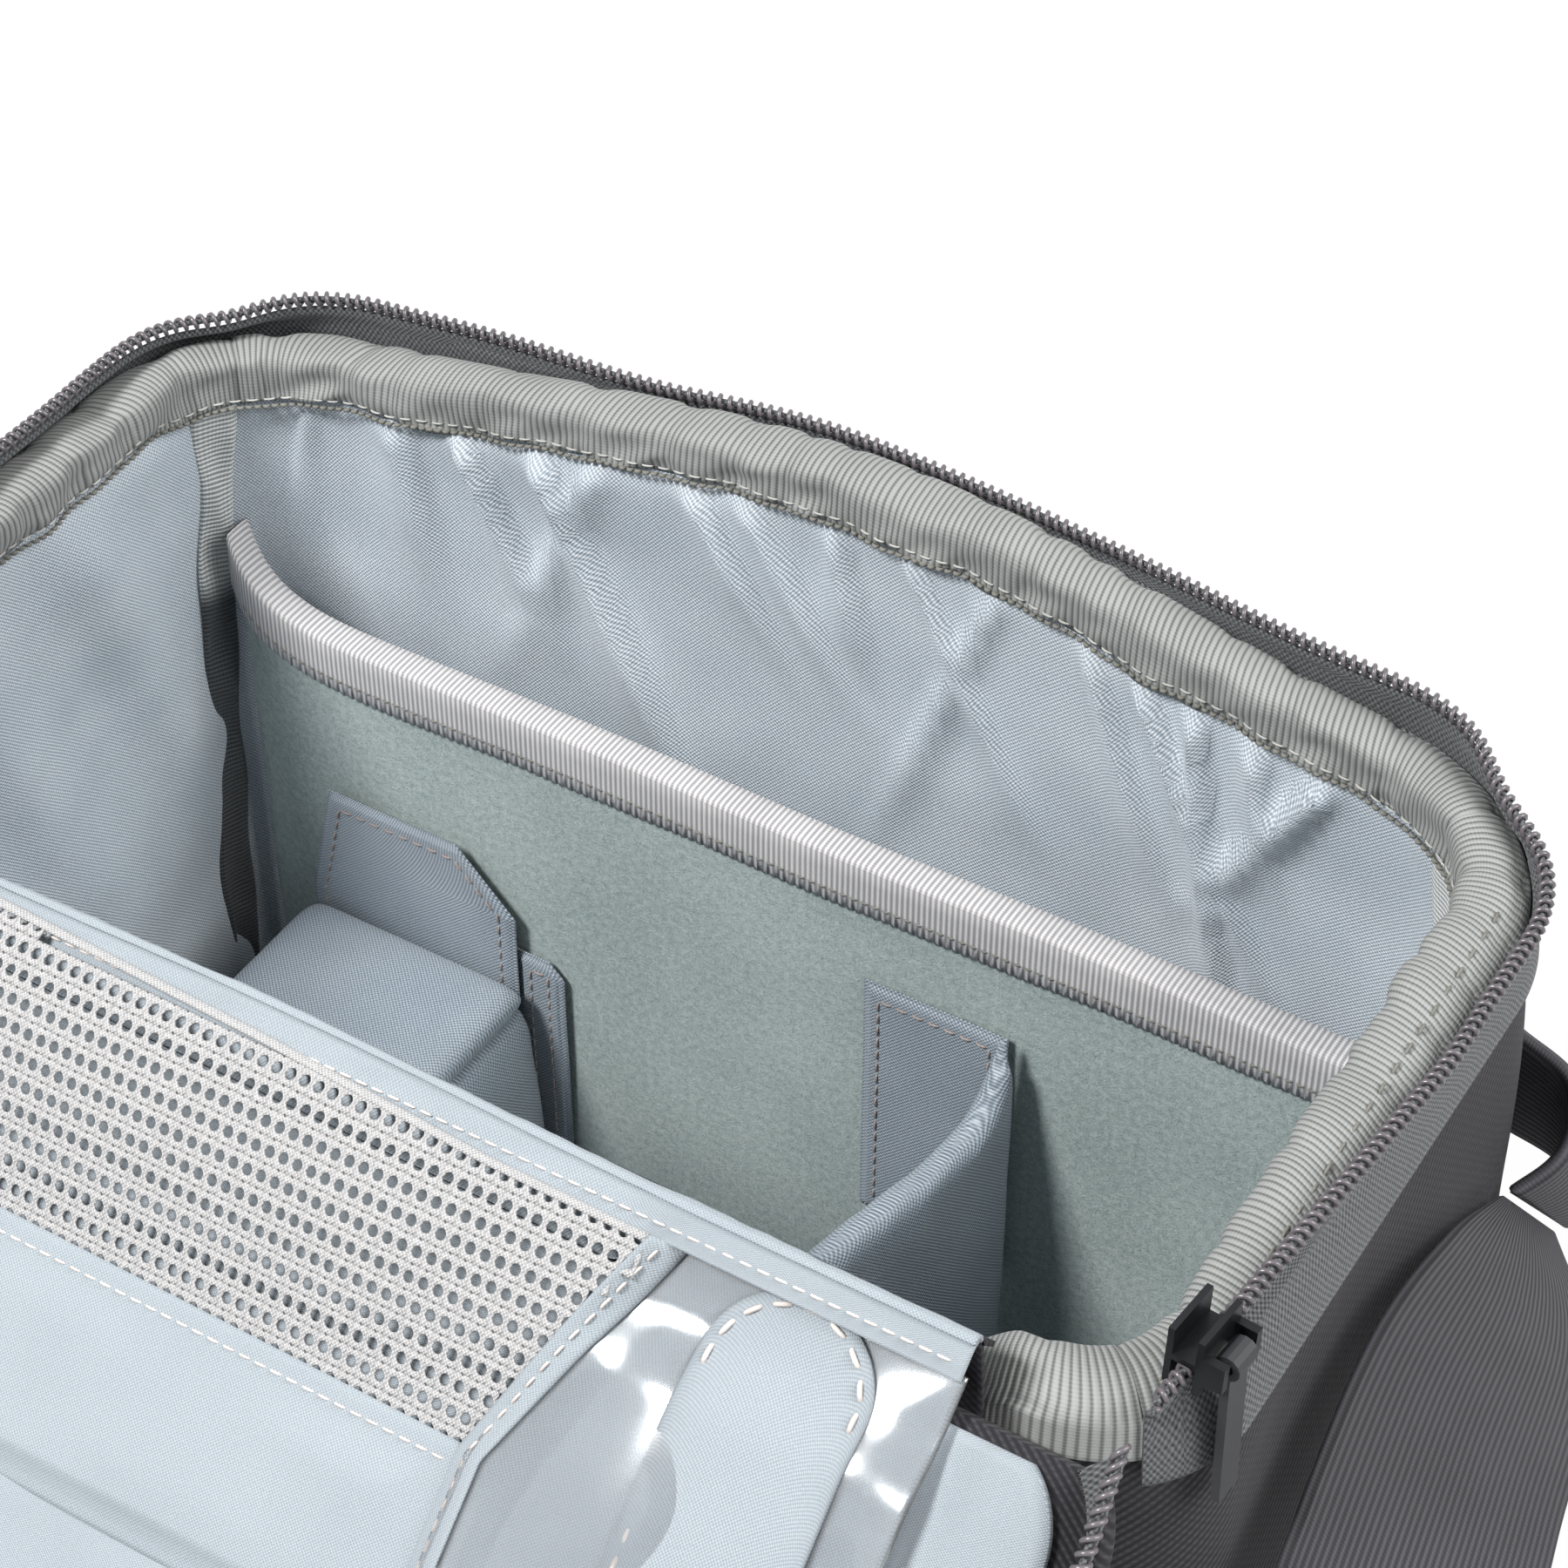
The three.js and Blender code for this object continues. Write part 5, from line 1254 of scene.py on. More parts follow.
# %% Where the net lies
NET_LEFT, NET_FAR, NET_SEAM = -125, 74, 45


def net_near(x):
    return np.interp(x, [-125, -54, -4, 36, 64], [1.6, 2.6, 4.2, 6.3, 6.6])


def net_right(y):
    return np.interp(y, [6.3, 45, 74], [64, 48.3, 48.3])


def net_height(x, y):
    along = np.clip((x - NET_LEFT) / (64 - NET_LEFT), 0, 1)
    down = np.clip((y - net_near(x)) / (NET_SEAM - net_near(x)), 0, 1)
    belly = np.sin(math.pi * along) ** 0.5 * np.sin(math.pi * down ** 0.75)
    ripple = np.sin(x / 9.0 + y / 14) * 0.5 + np.sin(x / 5.3 + 1) * 0.3
    return mixed(-1.9, 1.5, smoothstep(0, 1, down)) - 4.6 * belly + ripple * 0.35 * belly


print("net from", net_near(-54.0).round(1), "to", net_right(7.0).round(1), "mm")

# %% Net, cell by cell
pitch_x, pitch_y = NET_PITCH[0] / MM, NET_PITCH[1] / MM
square = np.array([(1, 0), (1, .5), (1, 1), (.5, 1), (0, 1), (-.5, 1), (-1, 1), (-1, .5),
                   (-1, 0), (-1, -.5), (-1, -1), (-.5, -1), (0, -1), (.5, -1), (1, -1),
                   (1, -.5)])
i, j = np.mgrid[0:78, 0:19]
x = NET_LEFT + 1.4 + (i + 0.5) * pitch_x
y = NET_FAR - 1.4 - (j + 0.5) * pitch_y
centres = np.stack([x, y], -1).reshape(-1, 2)
x, y = centres.T
centres = centres[(y > net_near(x) + 0.9) & (x < net_right(y) + 0.6)]
around = np.arange(16) * math.pi / 8
outer = square[None] * (pitch_x / 2, pitch_y / 2)
inner = np.stack([np.cos(around) * 0.8, np.sin(around) * 0.86], -1)[None]
count, sides = len(centres), 16
net_points, net_cloth = [], []
for flat, rise in ((outer, -0.26), (inner * 1.12, -0.3), (inner, 0.0), (outer, 0.26)):
    at = centres[:, None] + flat
    near = np.maximum(at[..., 1], net_near(at[..., 0]))
    z = net_height(at[..., 0], near) + rise
    net_points.append(lid_spot(at[..., 0], near, z))
    net_cloth.append(spot(flat[..., 0] + 0 * z, flat[..., 1], centres[:, :1] * 3 + centres[:, 1:]))
net_points, net_cloth = np.stack(net_points, 2), np.stack(net_cloth, 2)
base = (np.arange(count) * sides * 4)[:, None]
k = np.arange(sides)[None]
after = (k + 1) % sides
here, beside = base + k * 4, base + after * 4
net_quads = [np.stack([here + a, beside + a, beside + b, here + b], -1)
             for a, b in ((0, 1), (1, 2), (2, 3), (3, 0))]
net = mesh_piece("lid_net_knit", net_points.reshape(-1, 3), np.concatenate(net_quads).reshape(-1, 4),
                 net_cloth.reshape(-1, 3), net_thread, "lid", replaces=["lid_net_pocket"], slot="net")
print("net:", count, "holes")


# %% Edging of the net, its gusset and the facing
EDGE_PROFILE = [(-1, 0.3), (-0.92, -0.8), (0, -1.1), (0.92, -0.8), (1, 0.3), (0.92, 1), (0, 1.1),
                (-0.92, 1)]


def edging(name, corners, width, thick, material, slot):
    corners = np.array(corners, float)
    path = []
    for a, b in zip(corners[:-1], corners[1:]):
        steps = max(int(np.linalg.norm(b - a) / 1.5), 2)
        path += [a + (b - a) * k / steps for k in range(steps)]
    path = np.array(path + [corners[-1]])
    ahead = np.gradient(path, axis=0)
    ahead /= np.linalg.norm(ahead, axis=1, keepdims=True)
    side = np.stack([-ahead[:, 1], ahead[:, 0]], -1)
    rings = []
    for across, rise in EDGE_PROFILE:
        flat = path + side * across * width / 2
        z = net_height(flat[:, 0], flat[:, 1]) + rise * thick / 2
        rings.append(lid_spot(flat[:, 0], flat[:, 1], z))
    return band(name, np.stack(rings, 1), material, "lid", slot=slot)


xs = np.linspace(NET_LEFT, 63, 90)
edging("net_top_edging", np.stack([xs, net_near(xs) + 0.5], -1), 1.3, 0.8, net_thread, "net")
edging("net_side_edging", [(NET_LEFT + 1.6, 2.5), (NET_LEFT + 1.6, NET_FAR - 1)], 3.4, 1.1,
       lid_cloth, "binding")


def gusset_place(u, v, w):
    corners = np.array([(-122.8, 3), (-122.8, 71.8), (48.6, 71.8), (48.6, 45), (64.2, 7.5)])
    far = np.concatenate([[0], np.cumsum(np.linalg.norm(np.diff(corners, axis=0), axis=1))])
    x, y = [np.interp(u * far[-1], far, corners[:, k]) for k in (0, 1)]
    x = x + np.where(x < -122, 1, np.where(y < 71.7, -1, 0)) * w * 0.8
    y = y - (y > 71.7) * w * 0.8
    return lid_spot(x, y, mixed(net_height(x, y) + 0.5, 3.6, v))


quilt("net_gusset", gusset_place, 260, 8, lid_cloth, "lid", replaces=["lid_net_seam"], slot="lining")


def facing_place(u, v, w):
    x, y = mixed(-128, 49.5, u), mixed(44.3, 80, v)
    z = np.where(y < 75, np.minimum(net_height(x, y) - 0.7, 1.2), 1.2) + 1.6 * smoothstep(74, 79, y)
    return lid_spot(x, y, z + w * 0.8)


def facing_relief(s, t, edge, p):
    return (lid_folds(p) * 0.5 + 0.5) * 0.0009 * smoothstep(0.004, 0.012, edge)


facing = quilt("net_facing_cloth", facing_place, 180, 40, lid_cloth, "lid", soft=0.0008,
               relief=facing_relief, slot="lining")
xs = np.linspace(-126, 47, 250)
facing_row = lid_spot(xs, 47.4 + 0 * xs, net_height(xs, 45 + 0 * xs) - 0.75)
stitches("facing_stitches", [facing_row], [down], "lid", beige_thread,
         length=0.0021, pitch=0.0028, radius=0.00021)
print("net edges ready")


# %% Window film, its tape and the patch
def window_level(x, y):
    return 1.6 - 2.4 * smoothstep(13.5, 27, y) + 0 * x


def film_place(u, v, w):
    y = mixed(6.0, 74, v)
    x = mixed(net_right(y) + 1.5, 112, u)
    return lid_spot(x, y, window_level(x, y) + w * 0.4)


film_wave = wandering(66, 0.02, 0.06)
film = quilt("card_window_film", film_place, 60, 70, clear_sheet, "lid", through=1.0,
             relief=lambda s, t, edge, p: film_wave(p) * 0.0008 * smoothstep(0, 0.01, edge),
             replaces=["card_window"], slot="window")


def card_place(u, v, w):
    y = mixed(7.0, 73, v)
    x = mixed(net_right(y) + 2.5, 111, u)
    return lid_spot(x, y, window_level(x, y) + 0.7 + w * 0.4)


card = quilt("window_backing_cloth", card_place, 60, 70, lid_cloth, "lid", slot="lining")


def window_tape_place(u, v, w):
    y = mixed(6.4, 74, v)
    x = net_right(y) + mixed(-0.6, 4.4, u)
    level = mixed(net_height(net_right(y), y), window_level(x, y), u)
    return lid_spot(x, y, level - 0.9 + w * 0.9)


quilt("card_window_tape_cloth", window_tape_place, 14, 80, lid_cloth, "lid", soft=0.0012,
      replaces=["card_window_tape"], slot="binding")
ys = np.linspace(7.5, 73, 90)
row_x = net_right(ys)
row_level = mixed(net_height(row_x, ys), window_level(row_x + 4, ys), 0.4)
tape_row = lid_spot(row_x + 1.7, ys, row_level - 1.0)
stitches("window_tape_stitches", [tape_row], [down], "lid", beige_thread,
         length=0.0021, pitch=0.003, radius=0.00024)

# %% Arched patch
PATCH_X, PATCH_Y, PATCH_RADIUS, PATCH_FOOT, PATCH_ROW = 88.5, 18.2, 13.4, 62, 0.86


def patch_place(u, v, w):
    angle = (u - 0.5) * math.pi
    x = PATCH_X + np.sin(angle) * PATCH_RADIUS
    y = mixed(PATCH_Y - np.cos(angle) * PATCH_RADIUS, PATCH_FOOT, v)
    return lid_spot(x, y, window_level(x, y) - 0.8 + w * 0.7)


quilt("card_window_patch_cloth", patch_place, 90, 30, lid_cloth, "lid",
      replaces=["card_window_patch"], slot="binding")
angle = np.linspace(math.pi, 2 * math.pi, 46)
foot = [PATCH_FOOT - PATCH_Y]
x = PATCH_X + np.concatenate([[-1], np.cos(angle), [1]]) * PATCH_RADIUS * PATCH_ROW
y = PATCH_Y + np.concatenate([foot, np.sin(angle) * PATCH_RADIUS, foot]) * PATCH_ROW
patch_row = lid_spot(x, y, window_level(x, y) - 0.85)
stitches("patch_stitches", [patch_row], [down], "lid", beige_thread,
         length=0.0032, pitch=0.0044, radius=0.0004)
print("window trim ready")

# %% [markdown]
# ## Dividers
# Each divider is a sheet of foam in the same coated nylon, darker than the lining, with thin
# tabs of cloth that grip the loop cloth. The left one is a post whose upper half is folded over
# into a shelf. The right one curves and sags between the pocket and the front. The padded
# sheets are blown up a little by a short cloth simulation, which gives a soft pillow's edges
# and small uneven swells that a formula would make too regular.

# %% Padding by simulation
PRESSURE, VOXEL, FRAMES = 3.5, 0.0022, 12


def evaluated(piece):
    depsgraph = bpy.context.evaluated_depsgraph_get()
    return bpy.data.meshes.new_from_object(piece.evaluated_get(depsgraph))


def places_of(mesh):
    flat = np.empty(len(mesh.vertices) * 3, np.float32)
    mesh.vertices.foreach_get("co", flat)
    return flat.reshape(-1, 3)


def puffed(piece, cap, along_across):
    material = piece.data.materials[0]
    remesh = piece.modifiers.new("remesh", "REMESH")
    remesh.mode = "VOXEL"
    remesh.voxel_size = VOXEL
    grown = evaluated(piece)
    piece.modifiers.remove(remesh)
    stand_in = bpy.data.objects.new(piece.name + "_pillow", grown)
    bpy.context.scene.collection.objects.link(stand_in)
    before = places_of(grown)
    cloth = stand_in.modifiers.new("cloth", "CLOTH")
    cloth.settings.quality = 4
    cloth.settings.mass = 0.3
    cloth.settings.use_pressure = True
    cloth.settings.uniform_pressure_force = PRESSURE
    cloth.settings.effector_weights.gravity = 0
    cloth.settings.tension_stiffness = 25
    cloth.settings.bending_stiffness = 2
    cloth.point_cache.frame_end = FRAMES
    for number in range(1, FRAMES + 1):
        bpy.context.scene.frame_set(number)
    blown = evaluated(stand_in)
    bpy.context.scene.frame_set(1)
    move = places_of(blown) - before
    far = np.linalg.norm(move, axis=1, keepdims=True)
    move *= np.minimum(1, cap / np.maximum(far, 1e-9))
    blown.vertices.foreach_set("co", (before + move).ravel())
    bpy.data.objects.remove(stand_in)
    source = bpy.data.objects.new("smoothing", blown)
    bpy.context.scene.collection.objects.link(source)
    smoother = source.modifiers.new("smooth", "CORRECTIVE_SMOOTH")
    smoother.use_only_smooth = True
    smoother.iterations = 3
    divide = source.modifiers.new("subdivide", "SUBSURF")
    divide.levels = 1
    final = evaluated(source)
    bpy.data.objects.remove(source)
    if "cloth" in final.attributes:
        final.attributes.remove(final.attributes["cloth"])
    store_cloth(final, along_across(places_of(final)))
    final.materials.clear()
    final.materials.append(material)
    final.shade_smooth()
    piece.data = final
    print(piece.name, "puffed by at most", round(float(np.minimum(far, cap).max() / MM), 1), "mm")


def flat_cloth(a, b):
    return lambda places: np.stack([places[:, a], places[:, b], 0 * places[:, 0]], -1)


# %% Left divider: post
divider_sway = wandering(71, 0.03, 0.08)
divider_creases = wandering(72, 0.008, 0.022)


def soft_relief(amount, crease=0.0002):
    def relief(s, t, edge, p):
        swell = divider_sway(p) * amount + divider_creases(p) * crease
        return swell * smoothstep(0, 0.01, edge)

    return relief


def post_place(u, v, w):
    y, z = mixed(-65.3, 47.0, u), mixed(14.8, 110.9, v)
    x = mixed(-51, -60, v) + mixed(3.7, -3.7, w)
    return spot(x, y, z)


post = quilt("left_divider_pad", post_place, 110, 96, divider_cloth, "left_divider", soft=0.004,
             relief=soft_relief(0.0005), replaces=["left_divider_post"], slot="divider_cloth")
puffed(post, 0.0008, flat_cloth(1, 2))

# %% Shelf
def shelf_place(u, v, w):
    x, y = mixed(-110, -56.2, u), mixed(-65.3, 45.4, v)
    return spot(x, y, 115.3 + mixed(3.8, -3.7, w))


shelf = quilt("shelf_pad", shelf_place, 80, 130, divider_cloth, "shelf", soft=0.004,
              relief=soft_relief(0.0004), replaces=["shelf_flap"], slot="divider_cloth")
puffed(shelf, 0.0007, flat_cloth(0, 1))

# %% Right divider
CURVE_TOP = ([-65, -48, -30, -14, 2, 14, 24, 34, 39, 42, 44.5, 47],
             [122, 131, 138.5, 144, 147, 147.3, 146.3, 147, 149, 152.5, 157.5, 163])


def curve_place(u, v, w):
    y = mixed(-65.2, 47.0, u)
    x = mixed(14, 48, np.sin(u * math.pi / 2))
    top = np.interp(y, CURVE_TOP[0], CURVE_TOP[1])
    swell = np.sin(math.pi * v) * 1.75
    side = mixed(-3.4, 3.4, w)
    out = side + np.sign(side) * swell * 0.85 * np.sin(math.pi * u)
    return spot(x + out, y, mixed(14.8, top - 0.2, v))


def curve_cloth(places):
    return np.stack([places[:, 1] * 1.04, places[:, 2], 0 * places[:, 0]], -1)


curve = quilt("right_divider_pad", curve_place, 120, 130, divider_cloth, "right_divider",
              soft=0.0035, relief=soft_relief(0.0006, 0.0003), through=1.0,
              replaces=["right_divider_panel"], slot="divider_cloth")
puffed(curve, 0.0008, curve_cloth)

# %% Tabs
SEAM_INSET = 3.4
REAR_GRIP, SHELF_GRIP, FRONT_GRIP = 47.4, 45.8, -67.15


def tab(name, node, body, left, right, low, high, near, sides="lrt"):
    def place(u, v, w):
        return spot(mixed(left(v), right(v), u), near + 0.1 + w * 1.1, mixed(low, high, v))

    ripple = wandering(80 + len(MADE), 0.012, 0.04)

    def relief(s, t, edge, p):
        return ripple(p) * 0.00012 - 0.00042 * smoothstep(0.0016, 0.0011, edge)

    quilt(name, place, 60, 90, divider_cloth, body, soft=0.0011, relief=relief,
          replaces=[node], slot="divider_cloth")
    ends = SEAM_INSET / (high - low)
    v = np.linspace(ends, 1 - ends, 60)
    y, z = np.full_like(v, near + 0.05), mixed(low, high, v)
    rows = []
    if "l" in sides:
        rows.append(spot(left(v) + SEAM_INSET, y, z))
    if "t" in sides:
        top = np.array(1 - ends)
        x = np.linspace(float(left(top)) + SEAM_INSET, float(right(top)) - SEAM_INSET, 60)
        rows.append(spot(x, y, high - SEAM_INSET))
    if "r" in sides:
        rows.append(spot(right(v) - SEAM_INSET, y, z))
    stitches(name + "_stitches", rows, [(0, -1, 0)] * len(rows), body, grey_thread,
             length=0.0024, pitch=0.0031, radius=0.00024)


def level(value):
    return lambda v: value + 0 * np.asarray(v, float)


def clipped(start, value, end, low, high, from_z):
    def edge(v):
        z = mixed(low, high, np.asarray(v, float))
        return np.interp(z, [low, from_z, high], [start, value, end])

    return edge


tab("left_post_rear_tab_cloth", "left_divider_rear_tab", "left_divider", level(-61),
    clipped(-50, -50, -53.5, 50, 124, 120.5), 50, 124, REAR_GRIP)
tab("shelf_rear_tab_cloth", "shelf_rear_tab", "shelf",
    clipped(-110, -110, -103.5, 111.3, 147.3, 119.3),
    clipped(-60, -60, -73, 111.3, 147.3, 133.3), 111.3, 147.3, SHELF_GRIP)
tab("right_rear_tab_cloth", "right_divider_rear_tab", "right_divider", level(18), level(48),
    96, 157, REAR_GRIP)


def slanted(low, high):
    return lambda v: mixed(low, high, np.asarray(v, float))


tab("left_post_front_tab_cloth", "left_divider_front_tab", "left_divider",
    slanted(-47, -56), slanted(-25, -34), 14.9, 109.7, FRONT_GRIP, sides="rt")
tab("shelf_front_tab_cloth", "shelf_front_tab", "shelf",
    level(-103.5), level(-60), 111.3, 133.3, FRONT_GRIP, sides="rt")
tab("right_front_tab_cloth", "right_divider_front_tab", "right_divider",
    level(14), level(36), 50, 122, FRONT_GRIP, sides="rt")
print("dividers and tabs ready")

# %% [markdown]
# ## Front pouch
# A flat padded pouch is sewn to the front, open at the top. The lid hides most of it. Its
# panel swells away from the wall and its open edge is bound with the dark tape.

# %% Pouch
pouch_folds = wandering(91, 0.03, 0.08)


def pouch_swell(u, v):
    sides = smoothstep(0, 0.13, np.minimum(u, 1 - u))
    return 0.3 + 19 * np.minimum(sides, smoothstep(0, 0.13, v))


def pouch_place(u, v, w):
    out = pouch_swell(u, v) + 0.1 + w * 2.3
    return shell("front", mixed(0.13, 0.87, u), out * MM, mixed(30, 172, v) * MM)[0]


def pouch_relief(s, t, edge, p):
    return pouch_folds(p) * 0.0006 * smoothstep(0.01, 0.03, edge)


pouch = quilt("front_pouch_cloth", pouch_place, 200, 110, twill_cloth, "bag",
              relief=pouch_relief, through=1.0, replaces=["front_pouch"], slot="shell")


def pouch_edge_place(u, v, w):
    out = pouch_swell(u, 1 + 0 * u) + mixed(-0.2, 3.3, w)
    return shell("front", mixed(0.13, 0.87, u), out * MM, (172.3 + v * 3) * MM)[0]


quilt("front_pouch_edge", pouch_edge_place, 300, 4, webbing, "bag",
      replaces=["front_pouch_binding"], slot="binding")
print("pouch ready")

# %% [markdown]
# ## Webbing
# The strap is wide webbing with ribs along its length. It leaves a narrow folded loop at each
# rear corner, swings out and down to the table and runs along it in front. A sheet that
# follows the two edge curves of the strap gives the twist of the real band. The points of those
# curves are shares of the bag's half length, front reach and rim height.

# %% The curve that carries the strap
def through_points(points, at):
    points = np.asarray(points, float)
    at = np.asarray(at, float) * (len(points) - 1)
    cell = np.minimum(at.astype(int), len(points) - 2)
    w = (at - cell)[..., None]
    padded = np.concatenate([2 * points[:1] - points[1:2], points, 2 * points[-1:] - points[-2:-1]])
    p0, p1, p2, p3 = [padded[cell + k] for k in range(4)]
    d0, d1, d2 = [np.maximum(((b - a) ** 2).sum(-1, keepdims=True) ** 0.25, 1e-4)
                  for a, b in ((p0, p1), (p1, p2), (p2, p3))]
    t1 = ((p1 - p0) / d0 - (p2 - p0) / (d0 + d1) + (p2 - p1) / d1) * d1
    t2 = ((p2 - p1) / d1 - (p3 - p1) / (d1 + d2) + (p3 - p2) / d2) * d1
    return (p1 + t1 * w + (-3 * p1 + 3 * p2 - 2 * t1 - t2) * w ** 2
            + (2 * p1 - 2 * p2 + t1 + t2) * w ** 3)


STRAP_INNER = [(1.0505, 0.431, 0.7735), (1.055, 0.063, 0.851), (1.066, -0.38, 0.893),
               (1.095, -0.886, 0.818), (1.109, -1.329, 0.587), (1.109, -1.646, 0.314),
               (1.102, -1.924, 0.092), (1.036, -2.165, 0.026)]
STRAP_OUTER = [(1.099, 0.567, 0.7095), (1.212, 0.342, 0.696), (1.299, -0.278, 0.755),
               (1.372, -0.911, 0.696), (1.416, -1.38, 0.495), (1.431, -1.722, 0.252),
               (1.423, -2, 0.071), (1.336, -2.481, 0.026)]
LOOP_UPPER = [(0.9828, 0.753, 0.822), (1.066, 0.709, 0.809), (1.088, 0.582, 0.792),
              (1.056, 0.462, 0.777)]
LOOP_LOWER = [(0.9863, 0.7637, 0.721), (1.073, 0.772, 0.704), (1.117, 0.684, 0.7),
              (1.1, 0.6, 0.716)]


def from_shares(sense, shares):
    return np.array(shares) * np.array([sense * 137, 79, 238.5])


def ribbon_place(first, second, thickness):
    def place(u, v, w):
        a, b = through_points(first, u), through_points(second, u)
        before, after = np.clip(u - 0.002, 0, 1), np.clip(u + 0.002, 0, 1)
        along = 0
        for curve in (first, second):
            step = through_points(curve, after) - through_points(curve, before)
            along = along + step / np.linalg.norm(step, axis=-1, keepdims=True)
        lift = np.cross(along, b - a)
        lift /= np.linalg.norm(lift, axis=-1, keepdims=True)
        return (a + (b - a) * v[..., None] + lift * thickness * w) * MM

    return place


# %% Strap and loops
RUN_REAR, RUN_WIDE, RUN_HIGH, RUN_HALF = -178, 45, 3.2, 100
for name, sense in (("left", -1), ("right", 1)):
    ends = np.array([(sense * 130, RUN_REAR, RUN_HIGH), (sense * 100.3, RUN_REAR, RUN_HIGH)])
    inner = np.concatenate([from_shares(sense, STRAP_INNER), ends])
    outer = np.concatenate([from_shares(sense, STRAP_OUTER), ends - (0, RUN_WIDE, 0)])
    upper, lower = from_shares(sense, LOOP_UPPER), from_shares(sense, LOOP_LOWER)
    if sense < 0:
        inner, outer, upper, lower = outer, inner, lower, upper
    quilt(f"strap_drop_{name}_webbing", ribbon_place(inner, outer, 2.2), 420, 40, webbing, "bag",
          soft=0.0012, replaces=[f"strap_drop_{name}"], slot="webbing")
    quilt(f"strap_loop_{name}_webbing", ribbon_place(upper, lower, 3.0), 60, 30, webbing, "bag",
          soft=0.0014, replaces=[f"strap_loop_{name}"], slot="webbing")


def run_place(u, v, w):
    x, y = mixed(-RUN_HALF, RUN_HALF, u), mixed(RUN_REAR, RUN_REAR - RUN_WIDE, v)
    return spot(x, y, RUN_HIGH + mixed(2.2, 0, w))


def tail_place(u, v, w):
    x, y = mixed(60, 100, u), mixed(RUN_REAR, RUN_REAR - RUN_WIDE, v)
    return spot(x, y, 9.0 + mixed(2.2, 0, w))


quilt("strap_run_webbing", run_place, 200, 40, webbing, "bag", soft=0.0011,
      replaces=["strap_run"], slot="webbing")
quilt("strap_tail_webbing", tail_place, 40, 40, webbing, "bag", soft=0.0011,
      replaces=["strap_tail"], slot="webbing")
print("strap ready")

# %% [markdown]
# ## Shoulder pad
# The pad is a sleeve of webbing cloth over foam, threaded on the strap. Its two faces close at
# a seam along each side, so its section is a flat lens, and rows of quilting draw it in.

# %% Pad
PAD_LEFT, PAD_RIGHT, PAD_LINE, PAD_MIDDLE = -95, 55, -200.5, 4.4


def pad_outline(count, half, low, high):
    angles = np.arange(count) * 2 * math.pi / count
    y, z = np.cos(angles), np.sin(angles)
    bulk = (np.abs(y) ** 5 + np.abs(z) ** 5) ** -0.2
    middle, tall = (low + high) / 2, (high - low) / 2
    return y * bulk * half, middle + z * bulk * tall


def pad_rings(count=72, stations=150):
    outer, inner = [], []
    for x in np.linspace(PAD_LEFT, PAD_RIGHT, stations):
        end = min(x - PAD_LEFT, PAD_RIGHT - x)
        close = 1 - 0.22 * math.exp(-end / 4.0)
        quilting = 0.5 * math.exp(-((((x - PAD_LEFT) % 30) - 15) / 2.2) ** 2)
        y, z = pad_outline(count, 30.6 * (1 - 0.02 * math.exp(-end / 3)), 0.35, 8.5)
        drawn = PAD_MIDDLE + (z - PAD_MIDDLE) * close - quilting * (np.abs(y) < 27)
        outer.append(spot(x, PAD_LINE + y, np.where(z > PAD_MIDDLE, drawn, z)))
        y, z = pad_outline(count, 22.8, 2.9, 5.7)
        inner.append(spot(x, PAD_LINE + y, z))
    return np.array(outer), np.array(inner)


outer, inner = pad_rings()
stations, sides = outer.shape[:2]
skin_quads = rows_between(stations - 1, sides)
shift, last = stations * sides, (stations - 1) * sides
m = np.arange(sides)
beside = (m + 1) % sides
ends = [np.stack([m, m + shift, beside + shift, beside], -1),
        np.stack([last + m, last + beside, last + beside + shift, last + m + shift], -1)]
quads = np.concatenate([skin_quads, (skin_quads + shift)[:, ::-1]] + ends)
points = np.concatenate([outer.reshape(-1, 3), inner.reshape(-1, 3)])
cloth = np.stack([points[:, 0], points[:, 1], 0 * points[:, 0]], -1)
pad = mesh_piece("shoulder_pad_sleeve", points, quads, cloth, pad_cloth, "shoulder_pad",
                 replaces=["shoulder_pad"], slot="pad_cloth")
xs = np.linspace(-92, 52, 300)
edge_rows = [spot(xs, PAD_LINE + y, 8.35) for y in (-26.5, 26.5)]
stitches("pad_stitches", edge_rows, [(0, 0, 1)] * 2, "shoulder_pad", dark_thread,
         length=0.0026, pitch=0.0036, radius=0.00024)
print("pad:", len(pad.data.polygons), "faces")

# %% [markdown]
# ## Carrying handle
# Two flat anchors are sewn to the outside of the lid, each with a small loop, and a padded
# handle of webbing turns in the loops. With the lid open it hangs straight down.

# %% Anchors and handle
PIVOT = np.array([0, 112.0, 20.2])
HALF_SPAN, EYE_WIDE, REACH, EYE_GAP, GRIP_HALF = 62, 13, 34, 3, 2.9
LOOP_SECTION = [(-6.4, 4.8), (6.4, 4.8), (6.4, 3.5), (-6.4, 3.5)]
SEWN_BOX = [(-4.5, -17), (4.5, -17), (4.5, -8), (-4.5, -8), (-4.5, -17), (4.5, -8), (4.5, -17),
            (-4.5, -8)]


def on_lid(points):
    points = np.asarray(points, float)
    return opened((points + np.array([0, HINGE_Y, HINGE_Z])) * MM)


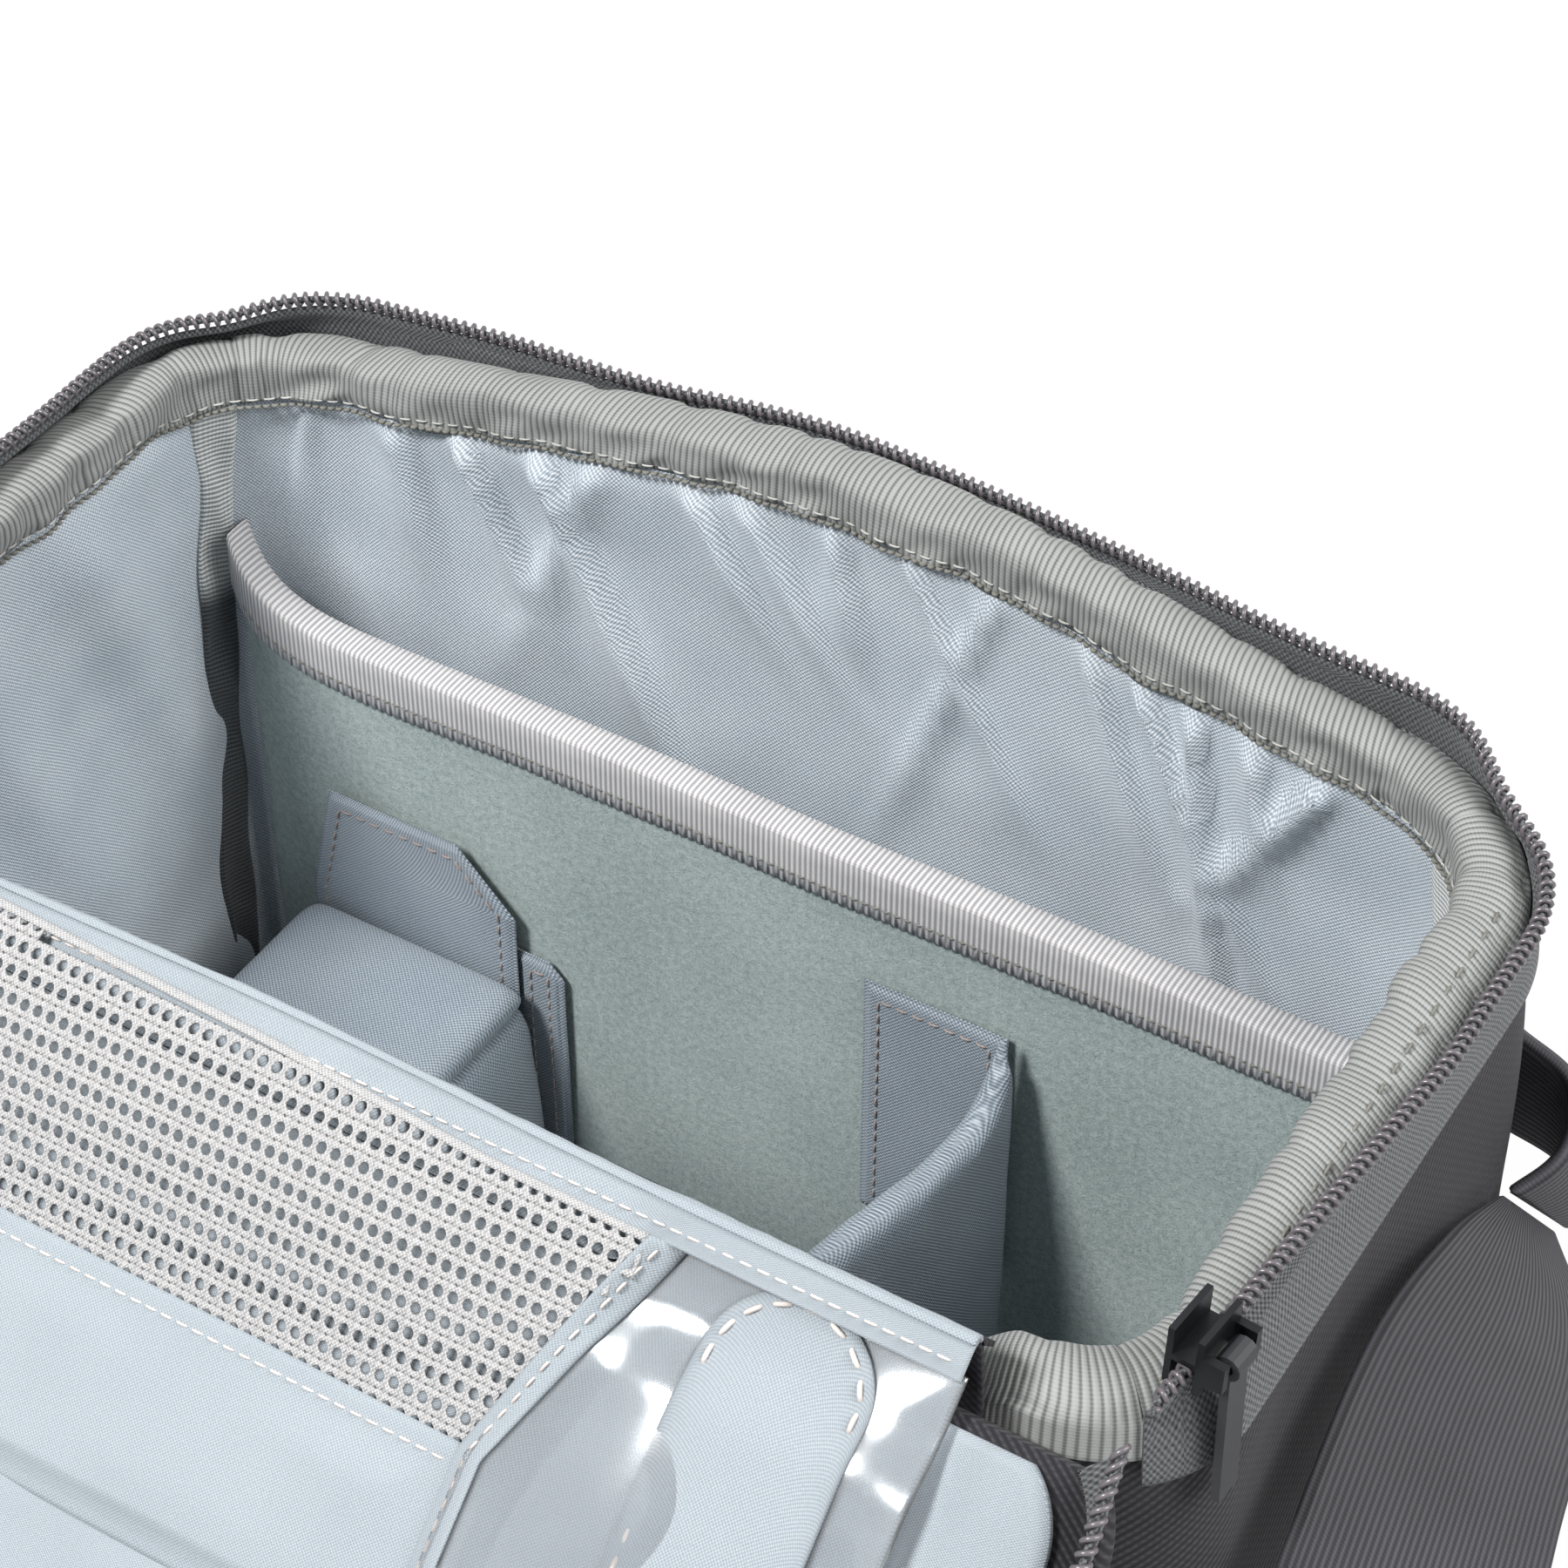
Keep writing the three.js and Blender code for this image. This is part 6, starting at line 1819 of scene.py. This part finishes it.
up = on_lid([(0, 0, 1)])[0] - on_lid([(0, 0, 0)])[0]
for name, middle in (("left", -HALF_SPAN), ("right", HALF_SPAN)):
    def base_place(u, v, w):
        x, y = middle + mixed(-6.5, 6.5, u), 112 + mixed(-20, 20, v)
        return on_lid(np.stack([x, y, 15.35 + w * 1.5 + 0 * u], -1))

    quilt(f"handle_anchor_{name}_webbing", base_place, 26, 60, webbing_across, "lid", soft=0.001,
          replaces=[f"handle_anchor_{name}"], slot="webbing")
    rings = []
    for angle in np.linspace(-0.28 * math.pi, 1.28 * math.pi, 40):
        out = np.array([0, math.cos(angle), math.sin(angle)])
        rings.append([PIVOT + out * r + (middle + x, 0, 0) for x, r in LOOP_SECTION])
    band(f"handle_loop_{name}", on_lid(rings), webbing_across, "lid", slot="webbing")
    rows = []
    for ends in (1, -1):
        corners = np.array([(middle + x, 112 + ends * y, 16.95) for x, y in SEWN_BOX])
        rows += [on_lid(corners[k:k + 2]) for k in range(len(corners) - 1)]
    stitches(f"handle_anchor_{name}_stitches", rows, [up] * len(rows), "lid", dark_thread,
             length=0.0018, pitch=0.0024, radius=0.0002)

half_route = [(HALF_SPAN + EYE_WIDE / 2, 0, 0), (HALF_SPAN - EYE_WIDE / 2, 0, 0),
              (HALF_SPAN - EYE_WIDE / 2 - EYE_GAP, 0, 0), (HALF_SPAN - EYE_WIDE, -REACH / 4, 0),
              (HALF_SPAN / 2, -REACH, 0)]
route = [(-x, y, z) for x, y, z in half_route] + half_route[::-1]
at = np.linspace(0, 1, 260)
middle = through_points(route, at)
ahead = np.gradient(middle, axis=0)
ahead /= np.linalg.norm(ahead, axis=1, keepdims=True)
across = np.stack([-ahead[:, 1], ahead[:, 0], 0 * at], -1)
wide = mixed(GRIP_HALF, 6.4, smoothstep(0.3, 0.9, -middle[:, 1] / REACH))
angles = np.arange(28) * 2 * math.pi / 28
bulk = (np.abs(np.cos(angles)) ** 2.6 + np.abs(np.sin(angles)) ** 2.6) ** (-1 / 2.6)
rings = (middle[:, None] + across[:, None] * (wide[:, None] * np.cos(angles) * bulk)[..., None]
         + np.array([0, 0, 1.0]) * (GRIP_HALF * np.sin(angles) * bulk)[None, :, None])
pivot_world = on_lid(PIVOT[None])[0]
hung = spot(rings[..., 0], -rings[..., 2], rings[..., 1]) + pivot_world
handle = band("carry_handle_padded", hung, webbing, "handle", replaces=["carry_handle"], slot="webbing")
print("handle:", len(handle.data.polygons), "faces")

# %% [markdown]
# ## Pieces kept from the model
# The sliders, their pulls and the buckle are hard and already have their true shapes, so they
# keep the model's mesh and only get a finish.

# %% Finishes for the kept pieces
KEPT = {"zip_slider_left": dark_metal, "zip_slider_right": dark_metal, "zip_pull_left": rubbery_pull,
        "zip_pull_right": rubbery_pull, "strap_buckle": satin_plastic}
for node, finish in KEPT.items():
    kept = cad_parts[node]
    for slot in kept.material_slots:
        slot.material = finish
    if not kept.material_slots:
        kept.data.materials.append(finish)
print("kept:", ", ".join(KEPT))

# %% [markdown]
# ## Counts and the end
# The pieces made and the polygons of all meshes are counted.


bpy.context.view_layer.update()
meshes = [thing.data for thing in bpy.data.objects if thing.type == "MESH"]
print("pieces:", len(MADE), "polygons:", sum(len(mesh.polygons) for mesh in meshes))
